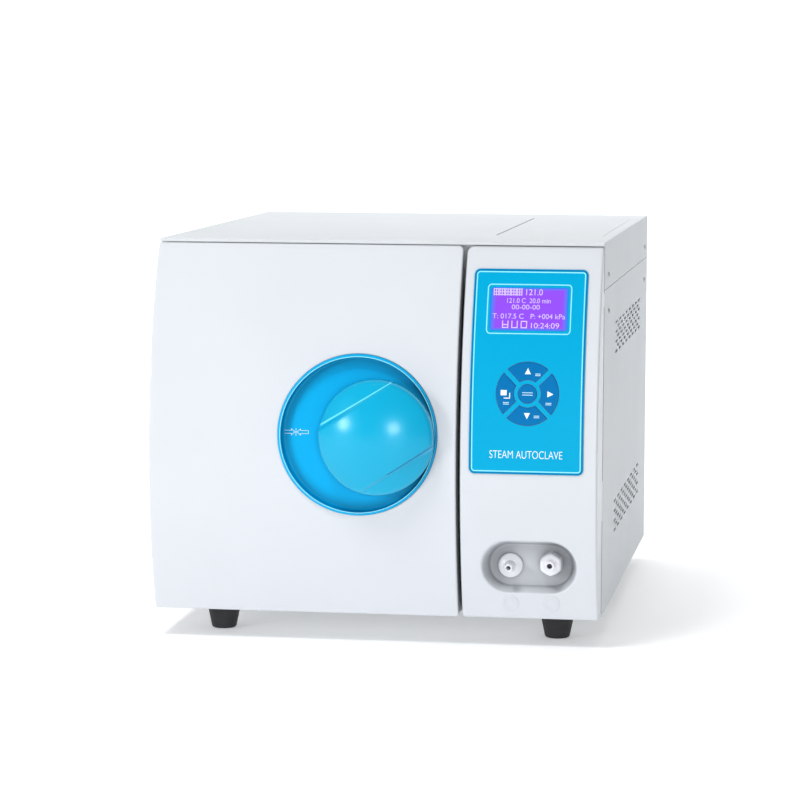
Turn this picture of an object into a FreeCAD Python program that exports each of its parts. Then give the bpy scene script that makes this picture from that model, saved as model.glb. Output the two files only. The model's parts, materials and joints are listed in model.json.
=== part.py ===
import FreeCAD, Part
import math
import os
import re

import Sketcher

# A bench-top steam autoclave: a painted sheet-steel casing round a horizontal pressure chamber,
# a bulged front with a left-hinged door and its latch knob, and a control column on the right.
# +Z is up, -Y is the front, and the origin is on the bench under the middle of the machine.

SIZES = [
    # casing
    ("body_wide", 438), ("body_deep", 540), ("body_high", 366), ("foot_high", 26),
    ("front_y", -235), ("steel", 1.2), ("skirt", 46), ("lip_out", 8), ("lip_high", 3),
    # the bulge of the front below, half way up and at the top, forward of the casing's edge
    ("bulge_low", 34), ("bulge_mid", 60), ("bulge_top", 8), ("shell", 2.5),
    # door and control column
    ("door_right", 82.7), ("column_left", 86.5), ("front_low", 2.5), ("front_top", 362),
    ("door_back", 4), ("column_back", 1.5),
    # chamber and what closes it
    ("chamber_x", -58), ("chamber_up", 180), ("bore", 120), ("vessel_wall", 2),
    ("chamber_deep", 400), ("end_dish", 30), ("flange", 135), ("flange_thick", 6),
    ("disc", 133), ("disc_front", 18), ("disc_back", 12), ("seal_gap", 0.3),
    ("seal_in", 121.5), ("seal_out", 129.5),
    # door hinges
    ("hinge_x", -208), ("hinge_out", 21), ("hinge_low", 60), ("hinge_high", 300),
    ("pin_radius", 4), ("running", 0.05),
    # knob, its dish, and the latch behind them
    ("knob_x", 6.8), ("knob_up", 180.5), ("knob_radius", 56), ("knob_back", 55), ("knob_tall", 40),
    ("knob_neck", 50), ("knob_step", 9.5), ("dome_radius", 100), ("dome_edge", 52),
    ("shelf_drop", 4.8), ("shelf_shift", 8.5),
    ("grip_wide", 73), ("grip_angle", 33.5), ("spindle", 6),
    ("dish_x", -13.3), ("dish_up", 181), ("dish_radius", 78), ("dish_rim", 3), ("rim_proud", 2.5),
    ("dish_deep", 8), ("dish_floor", 4),
    ("gear_pitch", 24), ("gear_module", 2), ("gear_thick", 6), ("gear_back", 28),
    ("bolt_tip", 82), ("bolt_tail", -60), ("bolt_front", 37), ("bolt_back", 25), ("bolt_tall", 11.5),
    # control panel
    ("film_x", 150.5), ("film_up", 244), ("film_wide", 110), ("film_high", 194), ("film_round", 5.5),
    ("film_thick", 0.8), ("lcd_x", 149.75), ("lcd_up", 303.5), ("lcd_wide", 81.5), ("lcd_high", 47),
    ("lcd_tilt", 19.6), ("pad_x", 151), ("pad_up", 224), ("pad_in", 13), ("pad_out", 30.5),
    ("pad_web", 4.6), ("pad_tilt", 9.6), ("key_proud", 1.3), ("key_deep", 3), ("key_gap", 0.35),
    ("enter_radius", 9),
    # hose recess
    ("recess_x", 153), ("recess_up", 53), ("recess_wide", 93), ("recess_high", 56),
    ("recess_floor", 28), ("recess_mouth", 70), ("mouth_spread", 13.5), ("recess_taper", 18),
    ("recess_wall", 2), ("drain_x", 133), ("drain_up", 54), ("fill_x", 173), ("fill_up", 57),
    ("nozzle", 4), ("nozzle_long", 21), ("nozzle_tail", 18), ("collar", 12), ("collar_thick", 3),
    ("drain_bore", 2.2), ("nut_corner", 12.5), ("nut_thick", 10), ("fill_bore", 2.6), ("tail", 6),
    ("boss", 4), ("boss_low", 14), ("boss_high", 338), ("boss_in", 8),
    # vents in the side panels
    ("vent_long", 25), ("vent_high", 3), ("vent_step", 41), ("vent_row", 5), ("vent_y", 130),
    ("vent_upper", 247), ("vent_lower", 64),
    # water tank and its lid
    ("lid_left", 99), ("lid_right", 207), ("lid_front", 110), ("lid_rear", 450), ("lid_thick", 2),
    ("tank_low", 170), ("tank_wall", 2), ("post_x", 40), ("post_y", 60), ("float_radius", 15),
    # rack and trays in the chamber
    ("rack_half", 88), ("rail_low", -52), ("rail_middle", 4), ("rail_top", 60), ("rail", 3),
    ("rail_wide", 6), ("post", 2), ("post_deep", 4), ("rack_front", 14), ("rack_rear", 366),
    ("tray_half", 85), ("tray_long", 340), ("tray_rim", 14), ("tray_steel", 1),
    ("band_thick", 4.5), ("felt_in", 8), ("felt_out", 20),
    # pump, valves, boards and condenser inside the casing
    ("pump_x", 150), ("pump_up", 45), ("pump_radius", 28), ("pump_y", 300), ("motor_long", 70),
    ("valve_y", 72), ("valve_up", 96), ("valve_radius", 11), ("valve_tall", 30),
    ("board_x", 205), ("board_thick", 1.6), ("pipe_radius", 3), ("fin_front", 480), ("fin_rear", 504),
    ("fin_pitch", 10), ("tube_radius", 5),
    # feet
    ("foot_mid", 5), ("foot_x", 168), ("foot_front", 28), ("foot_rear", 500), ("foot_top", 17),
    ("foot_tip", 12.6),
    # things on the rear panel
    ("fan_x", -80), ("fan_up", 120), ("fan_wide", 120), ("fan_front", 508), ("fan_thick", 25),
    ("spoke", 3), ("hub", 20), ("valve_front", 470), ("stem", 2), ("ring_radius", 7.8), ("ring_wire", 1.2),
    ("inlet_x", 150), ("inlet_up", 60),
    ("switch_up", 105), ("relief_x", 60), ("relief_up", 290), ("barb_x", 60), ("barb_up", 60),
    ("rear_out", 25),
]

document = FreeCAD.newDocument("autoclave")
sheet = document.addObject("Spreadsheet::Sheet", "dims")
for row, (alias, size) in enumerate(SIZES, start=1):
    sheet.set("A%d" % row, str(size))
    sheet.setAlias("A%d" % row, alias)
document.recompute()

ALIASES = {alias for alias, size in SIZES}
nodes = []
AXES = {
    "x": FreeCAD.Rotation(FreeCAD.Vector(0, 1, 0), 90),
    "y": FreeCAD.Rotation(FreeCAD.Vector(1, 0, 0), -90),
    "front": FreeCAD.Rotation(FreeCAD.Vector(1, 0, 0), 90),
    "z": FreeCAD.Rotation(),
}
probe = document.addObject("Part::Vertex", "probe")


# ---- small helpers -------------------------------------------------------------------------

def bound(text):
    """An expression on the sheet: each alias in the text gets the sheet's name before it."""
    return re.sub(r"[a-z][a-z_]*", lambda word: "dims." + word.group(0)
                  if word.group(0) in ALIASES else word.group(0), str(text))


def number(text):
    """The value of an expression, in millimetres."""
    probe.setExpression("X", bound(text))
    probe.recompute()
    return float(probe.X)


def rel_y(text):
    """A place along Y, measured back from the casing's front edge."""
    return "front_y + (%s)" % text


def up(text):
    """A height above the casing's underside."""
    return "foot_high + (%s)" % text


def node(label, piece):
    """Names a finished sub-part."""
    piece.Label = label
    nodes.append(piece)
    return piece


def place(piece, point, turn="z"):
    piece.Placement = FreeCAD.Placement(FreeCAD.Vector(), AXES[turn])
    for letter, text in zip("xyz", point):
        piece.setExpression("Placement.Base." + letter, bound(text))
    return piece


def block(low, high):
    """A block between two corners."""
    piece = document.addObject("Part::Box", "block")
    for side, start, end in zip(("Length", "Width", "Height"), low, high):
        piece.setExpression(side, bound("(%s) - (%s)" % (end, start)))
    return place(piece, low)


def box(low, high):
    """A block between two corners: X, Y back from the front edge, Z up from the underside."""
    return place(block(low, high), (low[0], rel_y(low[1]), up(low[2])))


def rod(start, radius, length, turn="y"):
    """A round bar from its start point, running along +X, +Y, +Z or towards the front."""
    piece = document.addObject("Part::Cylinder", "bar")
    piece.setExpression("Radius", bound(radius))
    piece.setExpression("Height", bound(length))
    return place(piece, (start[0], rel_y(start[1]), up(start[2])), turn)


def fuse(*pieces):
    piece = document.addObject("Part::MultiFuse", "joined")
    piece.Shapes = list(pieces)
    return piece


def group(*pieces):
    """Separate solids that share one node."""
    piece = document.addObject("Part::Compound", "group")
    piece.Links = list(pieces)
    return piece


def cut(base, *tools):
    piece = document.addObject("Part::Cut", "trimmed")
    piece.Base = base
    piece.Tool = tools[0] if len(tools) == 1 else fuse(*tools)
    return piece


def common(first, second):
    piece = document.addObject("Part::Common", "shared")
    piece.Base = first
    piece.Tool = second
    return piece


def ring(start, inner, outer, length, turn="y"):
    """A round tube."""
    return cut(rod(start, outer, length, turn), rod(start, inner, length, turn))


def rounded(base, radius, choose):
    """Rounds the edges that choose() picks."""
    document.recompute()
    piece = document.addObject("Part::Fillet", "rounded")
    piece.Base = base
    edges = enumerate(base.Shape.Edges, start=1)
    piece.Edges = [(index, radius, radius) for index, edge in edges if choose(edge)]
    return piece


def runs_along(edge, axis):
    """True for a straight edge parallel to an axis."""
    if not isinstance(edge.Curve, Part.Line):
        return False
    return abs(abs(edge.Curve.Direction.dot(axis)) - 1) < 1e-6


def shape_node(label, shape, point=None):
    """A sub-part whose shape is worked out in code from the sheet."""
    piece = document.addObject("Part::Feature", label)
    piece.Shape = shape
    if point:
        piece.Placement = FreeCAD.Placement(FreeCAD.Vector(*point), FreeCAD.Rotation())
    return piece


# ---- sketches for the bodies ---------------------------------------------------------------

def new_sketch(body, role, offset=None):
    plane = [feature for feature in body.Origin.OriginFeatures if feature.Role == role][0]
    drawing = body.newObject("Sketcher::SketchObject", "outline")
    drawing.AttachmentSupport = [(plane, "")]
    drawing.MapMode = "FlatFace"
    if offset is not None:
        drawing.setExpression("AttachmentOffset.Base.z", bound(offset))
    return drawing


def pin_point(drawing, geometry, vertex, point):
    """Dimensions one point of a sketch from the origin."""
    for kind, text in zip(("DistanceX", "DistanceY"), point):
        rule = Sketcher.Constraint(kind, -1, 1, geometry, vertex, number(text))
        index = drawing.addConstraint(rule)
        drawing.setExpression("Constraints[%d]" % index, bound(text))


def draw_outline(drawing, corners, bends=None):
    """A closed outline; bends maps a corner's index to a point its next edge curves through."""
    bends = bends or {}
    spots = [FreeCAD.Vector(number(x), number(y), 0) for x, y in corners]
    first = drawing.GeometryCount
    count = len(corners)
    ends = []
    for index in range(count):
        start, end = spots[index], spots[(index + 1) % count]
        ends.append((1, 2))
        if index in bends:
            middle = FreeCAD.Vector(*[number(text) for text in bends[index]], 0)
            if (middle - start).cross(end - middle).z < 0:
                start, end = end, start
                ends[index] = (2, 1)
            drawing.addGeometry(Part.Arc(start, middle, end))
        else:
            drawing.addGeometry(Part.LineSegment(start, end))
    for index in range(count):
        after = (index + 1) % count
        drawing.addConstraint(Sketcher.Constraint(
            "Coincident", first + index, ends[index][1], first + after, ends[after][0]))
        pin_point(drawing, first + index, ends[index][0], corners[index])
    for index, point in bends.items():
        spot = drawing.addGeometry(Part.Point(FreeCAD.Vector(*[number(text) for text in point], 0)), True)
        drawing.addConstraint(Sketcher.Constraint("PointOnObject", spot, 1, first + index))
        pin_point(drawing, spot, 1, point)


def draw_circle(drawing, centre, radius):
    spot = FreeCAD.Vector(number(centre[0]), number(centre[1]), 0)
    index = drawing.addGeometry(Part.Circle(spot, FreeCAD.Vector(0, 0, 1), number(radius)))
    pin_point(drawing, index, 3, centre)
    rule = drawing.addConstraint(Sketcher.Constraint("Radius", index, number(radius)))
    drawing.setExpression("Constraints[%d]" % rule, bound(radius))


def rectangle(drawing, left, low, right, high):
    draw_outline(drawing, [(left, low), (right, low), (right, high), (left, high)])


def pad(body, drawing, length, middle=False):
    feature = body.newObject("PartDesign::Pad", "pad")
    feature.Profile = drawing
    feature.setExpression("Length", bound(length))
    feature.Midplane = middle
    return feature


def pocket(body, drawing):
    """Cuts a sketch right through the body, both ways from its plane."""
    feature = body.newObject("PartDesign::Pocket", "pocket")
    feature.Profile = drawing
    feature.Type = "ThroughAll"
    feature.Midplane = True
    return feature


def revolve(body, drawing):
    feature = body.newObject("PartDesign::Revolution", "turned")
    feature.Profile = drawing
    feature.ReferenceAxis = (drawing, ["V_Axis"])
    return feature


def grid(body, feature, drawing, across, across_step, along, along_step):
    """Repeats a pocket in columns and rows."""
    pattern = body.newObject("PartDesign::LinearPattern", "rows")
    pattern.Originals = [feature]
    pattern.Direction = (drawing, ["H_Axis"])
    pattern.setExpression("Length", bound("(%s) * %d" % (across_step, across - 1)))
    pattern.Occurrences = across
    if along > 1:
        pattern.Direction2 = (drawing, ["V_Axis"])
        pattern.setExpression("Length2", bound("(%s) * %d" % (along_step, along - 1)))
        pattern.Occurrences2 = along
    body.Tip = pattern
    return pattern


def slot_outline(drawing, left, low, length, height):
    """A round-ended slot."""
    half = "(%s) / 2" % height
    corners = [("%s + %s" % (left, half), low), ("%s + %s - %s" % (left, length, half), low),
               ("%s + %s - %s" % (left, length, half), "%s + %s" % (low, height)),
               ("%s + %s" % (left, half), "%s + %s" % (low, height))]
    bends = {1: ("%s + %s" % (left, length), "%s + %s" % (low, half)),
             3: (left, "%s + %s" % (low, half))}
    draw_outline(drawing, corners, bends)


# ---- the bulged front ----------------------------------------------------------------------

curved_blocks = {}


def curved(offset):
    """The space behind the bulged front, whose face is moved forward by the offset."""
    if offset not in curved_blocks:
        body = document.addObject("PartDesign::Body", "bulge")
        drawing = new_sketch(body, "YZ_Plane")
        ahead = "front_y - %s - (" + str(offset) + ")"
        corners = [(rel_y(10), up(0)), (ahead % "bulge_low", up(0)),
                   (ahead % "bulge_top", up("body_high")), (rel_y(10), up("body_high"))]
        draw_outline(drawing, corners, {1: (ahead % "bulge_mid", up("body_high / 2"))})
        pad(body, drawing, "body_wide", middle=True)
        curved_blocks[offset] = body
    return curved_blocks[offset]


def curved_plate(outline, front, back):
    """A plate that follows the bulge, cut to an outline that runs along Y."""
    return cut(common(curved(front), outline), curved(back))


def through_front(low_x, low_z, high_x, high_z):
    """A block right through the front's depth."""
    return box((low_x, -120, low_z), (high_x, 5, high_z))


def across(axis_x, axis_up, radius):
    """A round bar right through the front's depth."""
    return rod((axis_x, -120, axis_up), radius, 125)


def make_casing():
    half = "body_wide / 2"
    outer = box(("-" + half, 0, "body_high - skirt"), (half, "body_deep", "body_high"))
    inner = box(("steel - " + half, -1, "body_high - skirt - 1"),
                (half + " - steel", "body_deep - steel", "body_high - steel"))
    lip = box(("-" + half, "-lip_out", "body_high - lip_high"), (half, 0, "body_high"))
    lip_space = box(("-" + half, "steel - lip_out", "body_high - lip_high - 1"),
                    (half, 1, "body_high - steel"))
    ledge = box(("lid_left - 2", "lid_front - 2", "body_high - 4"),
                ("lid_right + 2", "lid_rear + 2", "body_high - steel"))
    lid_hole = box(("lid_left", "lid_front", "body_high - lid_thick"),
                   ("lid_right", "lid_rear", "body_high + 1"))
    mouth = box(("lid_left + 4", "lid_front + 4", "body_high - 6"),
                ("lid_right - 4", "lid_rear - 4", "body_high + 1"))
    shape = cut(fuse(cut(fuse(outer, lip), inner, lip_space), ledge), lid_hole, mouth)
    top = number(up("body_high"))

    def long_top_edge(edge):
        middle = edge.CenterOfMass
        return (runs_along(edge, FreeCAD.Vector(0, 1, 0)) and abs(middle.z - top) < 0.01
                and abs(middle.x) > number(half) - 0.01)
    node("top_cover", rounded(shape, 1.1, long_top_edge))

    for label, start in (("left_side_panel", "-" + half), ("right_side_panel", half + " - steel")):
        make_side_panel(label, start)
    make_rear_panel()
    make_base_plate()
    make_bulkhead()
    make_feet()
    lid = box(("lid_left + 1.8", "lid_front + 0.5", "body_high - lid_thick"),
              ("lid_right - 0.5", "lid_rear - 0.5", "body_high"))
    rim = cut(box(("lid_left + 4.5", "lid_front + 4.5", "body_high - 6"),
                  ("lid_right - 4.5", "lid_rear - 4.5", "body_high - lid_thick")),
              box(("lid_left + 6.5", "lid_front + 6.5", "body_high - 7"),
                  ("lid_right - 6.5", "lid_rear - 6.5", "body_high - lid_thick")))
    node("tank_lid", fuse(lid, rim))
    heads = []
    for side in (-1, 1):
        for back, height in ((40, 332), (500, 332), (45, 296), (495, 296)):
            start = "%d * body_wide / 2 %s" % (side, "- 1.6" if side < 0 else "")
            heads.append(rod((start, back, height), 3.6, 1.6, "x"))
    node("case_screws", group(*heads))


def make_side_panel(label, start):
    body = document.addObject("PartDesign::Body", label)
    drawing = new_sketch(body, "YZ_Plane", start)
    rectangle(drawing, rel_y(0), up(0), rel_y("body_deep"), up("body_high - skirt - 0.6"))
    pad(body, drawing, "steel")
    for height in ("vent_upper", "vent_lower"):
        for row, columns, rows, shift in ((0, 8, 4, "0"), (1, 7, 3, "vent_step / 2")):
            drawing = new_sketch(body, "YZ_Plane", start)
            slot_outline(drawing, rel_y("vent_y + " + shift), up("%s + %d * vent_row" % (height, row)),
                         "vent_long", "vent_high")
            opening = pocket(body, drawing)
            grid(body, opening, drawing, columns, "vent_step", rows, "2 * vent_row")
    node(label, body)


def make_rear_panel():
    body = document.addObject("PartDesign::Body", "rear_panel")
    face = "-(front_y + body_deep - steel - 0.2)"
    drawing = new_sketch(body, "XZ_Plane", face)
    rectangle(drawing, "1.4 - body_wide / 2", up(2.2), "body_wide / 2 - 1.4", up("body_high - 1.4"))
    pad(body, drawing, "steel")
    drawing = new_sketch(body, "XZ_Plane", face)
    rectangle(drawing, "inlet_x - 23.8", up("inlet_up - 13.8"), "inlet_x + 23.8", up("inlet_up + 13.8"))
    rectangle(drawing, "inlet_x - 13.8", up("switch_up - 10.8"), "inlet_x + 13.8", up("switch_up + 10.8"))
    draw_circle(drawing, ("relief_x", up("relief_up")), "10.2")
    draw_circle(drawing, ("barb_x", up("barb_up")), "6.2")
    pocket(body, drawing)
    drawing = new_sketch(body, "XZ_Plane", face)
    slot_outline(drawing, "fan_x - 52", up("fan_up - 50"), "46", "6")
    opening = pocket(body, drawing)
    grid(body, opening, drawing, 2, "58", 9, "11.8")
    node("rear_panel", body)


def make_base_plate():
    body = document.addObject("PartDesign::Body", "base_plate")
    drawing = new_sketch(body, "YZ_Plane")
    back = "body_deep - steel - 2.5"
    corners = [(rel_y(3.4), up(0)), (rel_y(back), up(0)), (rel_y(back), up(20)),
               (rel_y(back + " - 2"), up(20)), (rel_y(back + " - 2"), up(2)),
               (rel_y(5.4), up(2)), (rel_y(5.4), up(20)), (rel_y(3.4), up(20))]
    draw_outline(drawing, corners)
    pad(body, drawing, "body_wide - 2 * steel - 0.4", middle=True)
    drawing = new_sketch(body, "XY_Plane", up(1))
    for side in ("foot_mid - foot_x", "foot_mid + foot_x"):
        for back in ("foot_front", "foot_rear"):
            draw_circle(drawing, (side, rel_y(back)), "2.6")
    pocket(body, drawing)
    drawing = new_sketch(body, "XY_Plane", up(1))
    slot_outline(drawing, "60", rel_y(180), "40", "5")
    opening = pocket(body, drawing)
    grid(body, opening, drawing, 3, "50", 9, "15")
    node("base_plate", body)


def make_bulkhead():
    body = document.addObject("PartDesign::Body", "front_bulkhead")
    drawing = new_sketch(body, "XZ_Plane", "-front_y")
    rectangle(drawing, "steel + 0.3 - body_wide / 2", up(2.2), "body_wide / 2 - steel - 0.3",
              up("body_high - 1.4"))
    opening = new_sketch(body, "XZ_Plane", "-front_y")
    feature = pad(body, drawing, "3")
    feature.Reversed = True
    draw_circle(opening, ("chamber_x", up("chamber_up")), "bore + vessel_wall + 0.5")
    rectangle(opening, "100", up(24), "205", up(340))
    pocket(body, opening)
    node("front_bulkhead", body)


def make_feet():
    for name_y, back in (("front", "foot_front"), ("rear", "foot_rear")):
        for name_x, side in (("left", "foot_mid - foot_x"), ("right", "foot_mid + foot_x")):
            label = "foot_%s_%s" % (name_y, name_x)
            body = document.addObject("PartDesign::Body", label)
            drawing = new_sketch(body, "XZ_Plane")
            corners = [("0", "0"), ("foot_tip - 3", "0"), ("foot_tip", "3"), ("foot_top", "foot_high - 3"),
                       ("foot_top", "foot_high"), ("0", "foot_high")]
            draw_outline(drawing, corners, {1: ("foot_tip - 0.9", "0.9")})
            revolve(body, drawing)
            place(body, (side, rel_y(back), 0))
            node(label, body)


def make_column():
    half = "body_wide / 2"
    outer = box(("column_left", -120, "front_low"), (half, "-column_back", "front_top"))
    inner = box(("column_left + shell", -120, "front_low + shell"),
                (half + " - shell", 0, "front_top - shell"))
    skin = cut(common(curved(0), outer), common(curved("-shell"), inner))
    bosses = []
    for side in ("column_left + boss_in", half + " - boss_in"):
        for height in ("boss_low", "boss_high"):
            bosses.append(rod((side, "-recess_mouth", height), "boss", "recess_mouth"))
    skin = fuse(skin, common(fuse(*bosses), curved("-1")))
    window = through_front("lcd_x - 38", "lcd_up - 20", "lcd_x + 38", "lcd_up + 20")
    pad_hole = across("pad_x", "pad_up", "pad_out + 1.5")
    slot = box(("column_left - 1", "-bolt_front - 1.5", "knob_up + gear_pitch + 1"),
               ("column_left + shell + 1", "1.5 - bolt_back", "knob_up + gear_pitch + bolt_tall + 4"))
    node("control_column", cut(skin, window, pad_hole, slot, recess_solid(0)))
    cup = cut(common(curved(0), recess_solid(0)), recess_solid(-number("recess_wall")))
    tails = [across("drain_x", "drain_up", "tail"), across("fill_x", "fill_up", "tail")]
    node("hose_recess", cut(cup, *tails))


def stadium(wide, high, y_place):
    """A round-ended outline, lying across the front at one depth."""
    x = number("recess_x")
    z = number(up("recess_up"))
    y = number(rel_y(y_place))
    reach = (wide - high) / 2
    corners = [FreeCAD.Vector(x + sx * reach, y, z + sz * high / 2)
               for sx, sz in ((-1, -1), (1, -1), (1, 1), (-1, 1))]
    right = FreeCAD.Vector(x + wide / 2, y, z)
    left = FreeCAD.Vector(x - wide / 2, y, z)
    return Part.Wire([
        Part.LineSegment(corners[0], corners[1]).toShape(),
        Part.Arc(corners[1], right, corners[2]).toShape(),
        Part.LineSegment(corners[2], corners[3]).toShape(),
        Part.Arc(corners[3], left, corners[0]).toShape()])


def recess_solid(grow):
    """The tapered hose recess; a negative grow is the space inside its wall."""
    wide = number("recess_wide") + 2 * grow
    high = number("recess_high") + 2 * grow
    spread = number("mouth_spread")
    taper = number("recess_taper")
    outlines = [stadium(wide + spread, high + spread, "-recess_mouth"),
                stadium(wide - taper, high - taper, grow - number("recess_floor"))]
    return shape_node("recess_form", Part.makeLoft(outlines, True, True))


def make_control_panel():
    outline = through_front("film_x - film_wide / 2", "film_up - film_high / 2",
                            "film_x + film_wide / 2", "film_up + film_high / 2")
    outline = rounded(outline, number("film_round"), lambda edge: runs_along(edge, FreeCAD.Vector(0, 1, 0)))
    film = curved_plate(outline, "film_thick", 0)
    lcd_hole = through_front("lcd_x - lcd_wide / 2", "lcd_up - lcd_high / 2",
                             "lcd_x + lcd_wide / 2", "lcd_up + lcd_high / 2")
    cuts = [lcd_hole, across("pad_x", "pad_up", "enter_radius + key_gap")]
    cuts += [shape_node("key_space", key_form(turn, 0)) for turn in (0, 90, 180, 270)]
    node("control_overlay", cut(film, *cuts))
    glass = through_front("lcd_x - lcd_wide / 2 + 0.1", "lcd_up - lcd_high / 2 + 0.1",
                          "lcd_x + lcd_wide / 2 - 0.1", "lcd_up + lcd_high / 2 - 0.1")
    node("lcd_window", curved_plate(glass, "film_thick - 0.2", 0))

    for label, turn in (("key_right", 0), ("key_up", 90), ("key_left", 180), ("key_down", 270)):
        form = shape_node(label + "_form", key_form(turn, number("key_gap")))
        node(label, curved_plate(form, "key_proud", "-key_deep"))
    node("key_enter", curved_plate(across("pad_x", "pad_up", "enter_radius"), "key_proud", "-key_deep"))

    board = [box((-29, "-front_y", "-foot_high - 29"), (29, "1.6 - front_y", "29 - foot_high"))]
    for x, z in ((0, 0), (21, 0), (-21, 0), (0, 21), (0, -21)):
        board.append(rod((x, "-front_y - 3", "%d - foot_high" % z), 3, 3))
    board = fuse(*board)
    tilted(board, "pad_x", "pad_up", number("pad_tilt"), 7.8)
    node("control_board", board)
    module = fuse(box((-46, "-front_y", "-foot_high - 28"), (46, "8 - front_y", "28 - foot_high")),
                  box((-50, "8 - front_y", "-foot_high - 31"), (50, "9.6 - front_y", "31 - foot_high")))
    tilted(module, "lcd_x", "lcd_up", number("lcd_tilt"), 4.4)
    node("lcd_module", module)


def tilted(piece, x, height, angle, deep):
    """Lays a piece made round the origin square to the bulge, some way behind its face."""
    share = number(height) / number("body_high")
    low, middle, top = (number(name) for name in ("bulge_low", "bulge_mid", "bulge_top"))
    out = low * (1 - share) + top * share + 4 * (middle - (low + top) / 2) * share * (1 - share)
    turn = FreeCAD.Rotation(FreeCAD.Vector(1, 0, 0), -angle)
    inward = turn.multVec(FreeCAD.Vector(0, deep, 0))
    spot = FreeCAD.Vector(number(x), number("front_y") - out, number(up(height))) + inward
    piece.Placement = FreeCAD.Placement(spot, turn)


def key_form(turn, gap):
    """A quarter key's outline, run along Y: a ring quarter between two diagonal webs."""
    inner = number("pad_in") + gap
    outer = number("pad_out") - gap
    side = number("pad_web") / 2 + gap
    centre = FreeCAD.Vector(number("pad_x"), number("front_y") - 120, number(up("pad_up")))

    def spot(radius, share):
        swing = share * (math.pi / 4 - math.asin(side / radius)) + math.radians(turn)
        return centre + FreeCAD.Vector(radius * math.cos(swing), 0, radius * math.sin(swing))
    wire = Part.Wire([
        Part.Arc(spot(inner, -1), spot(inner, 0), spot(inner, 1)).toShape(),
        Part.LineSegment(spot(inner, 1), spot(outer, 1)).toShape(),
        Part.Arc(spot(outer, 1), spot(outer, 0), spot(outer, -1)).toShape(),
        Part.LineSegment(spot(outer, -1), spot(inner, -1)).toShape()])
    return Part.Face(wire).extrude(FreeCAD.Vector(0, 125, 0))


def make_fittings():
    floor = "-recess_floor - recess_wall"
    behind = "nozzle_tail - recess_floor"
    collar = fuse(rod(("drain_x", floor, "drain_up"), "collar", "collar_thick", "front"),
                  rod(("drain_x", floor, "drain_up"), "nozzle", "nozzle_long", "front"),
                  rod(("drain_x", behind, "drain_up"), "tail", "nozzle_tail + recess_wall", "front"))
    bore = rod(("drain_x", "-recess_mouth", "drain_up"), "drain_bore", 90)
    node("drain_nozzle", cut(collar, bore))
    nut = document.addObject("Part::Prism", "hexagon")
    nut.Polygon = 6
    nut.setExpression("Circumradius", bound("nut_corner"))
    nut.setExpression("Height", bound("nut_thick"))
    place(nut, ("fill_x", rel_y(floor), up("fill_up")), "front")
    stub = fuse(nut, rod(("fill_x", floor, "fill_up"), "nozzle + 1", "nozzle_long + 1", "front"),
                rod(("fill_x", behind, "fill_up"), "tail", "nozzle_tail + recess_wall", "front"))
    bore = rod(("fill_x", "-recess_mouth", "fill_up"), "fill_bore", 90)
    node("fill_nozzle", cut(stub, bore))


def make_door():
    left = "-body_wide / 2"
    outer = box((left, -120, "front_low"), ("door_right", "-door_back", "front_top"))
    inner = box((left + " + shell", -120, "front_low + shell"),
                ("door_right - shell", 0, "front_top - shell"))
    skin = cut(common(curved(0), outer), common(curved("-shell"), inner))
    bolt_low = "knob_up + gear_pitch + 1.5"
    bolt_hole = box(("door_right - 4", "-bolt_front - 1", bolt_low),
                    ("door_right + 1", "1 - bolt_back", "knob_up + gear_pitch + bolt_tall + 3.5"))
    node("door_shell", cut(skin, across("dish_x", "dish_up", "dish_radius + 0.05"), bolt_hole))

    back = document.addObject("PartDesign::Body", "door_back_plate")
    drawing = new_sketch(back, "XZ_Plane", "disc_back - front_y")
    edge = "3 - body_wide / 2"
    notch = "hinge_x + 33"
    corners = [(edge, up(6)), ("door_right - 2.8", up(6)), ("door_right - 2.8", up(344)), (edge, up(344))]
    for height in ("hinge_high", "hinge_low"):
        corners += [(edge, up(height + " + 8.2")), (notch, up(height + " + 8.2")),
                    (notch, up(height + " - 8.2")), (edge, up(height + " - 8.2"))]
    draw_outline(drawing, corners)
    feature = pad(back, drawing, "2")
    feature.Reversed = True
    drawing = new_sketch(back, "XZ_Plane", "disc_back - front_y")
    draw_circle(drawing, ("chamber_x", up("chamber_up")), "seal_out + 1")
    pocket(back, drawing)
    node("door_back_plate", back)

    disc = document.addObject("PartDesign::Body", "door_disc")
    drawing = new_sketch(disc, "XZ_Plane")
    corners = [("0", "disc_back - disc_front"), ("disc", "disc_back - disc_front"), ("disc", "0"),
               ("seal_in - 0.5", "0"), ("seal_in - 0.5", "4"), ("seal_in - 8", "4"),
               ("seal_in - 26", "0"), ("0", "0")]
    draw_outline(drawing, corners)
    revolve(disc, drawing)
    place(disc, ("chamber_x", rel_y("-disc_back"), up("chamber_up")), "y")
    node("door_disc", disc)

    seal = document.addObject("PartDesign::Body", "door_seal")
    drawing = new_sketch(seal, "XZ_Plane")
    thick = "disc_back - flange_thick - seal_gap"
    middle = "(seal_in + seal_out) / 2"
    corners = [("seal_in", "0"), ("seal_out", "0"), ("seal_out", thick + " - 2"),
               ("seal_in", thick + " - 2")]
    draw_outline(drawing, corners, {2: (middle, thick)})
    revolve(seal, drawing)
    place(seal, ("chamber_x", rel_y("-disc_back"), up("chamber_up")), "y")
    node("door_seal", seal)
    make_hinges()


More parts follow.
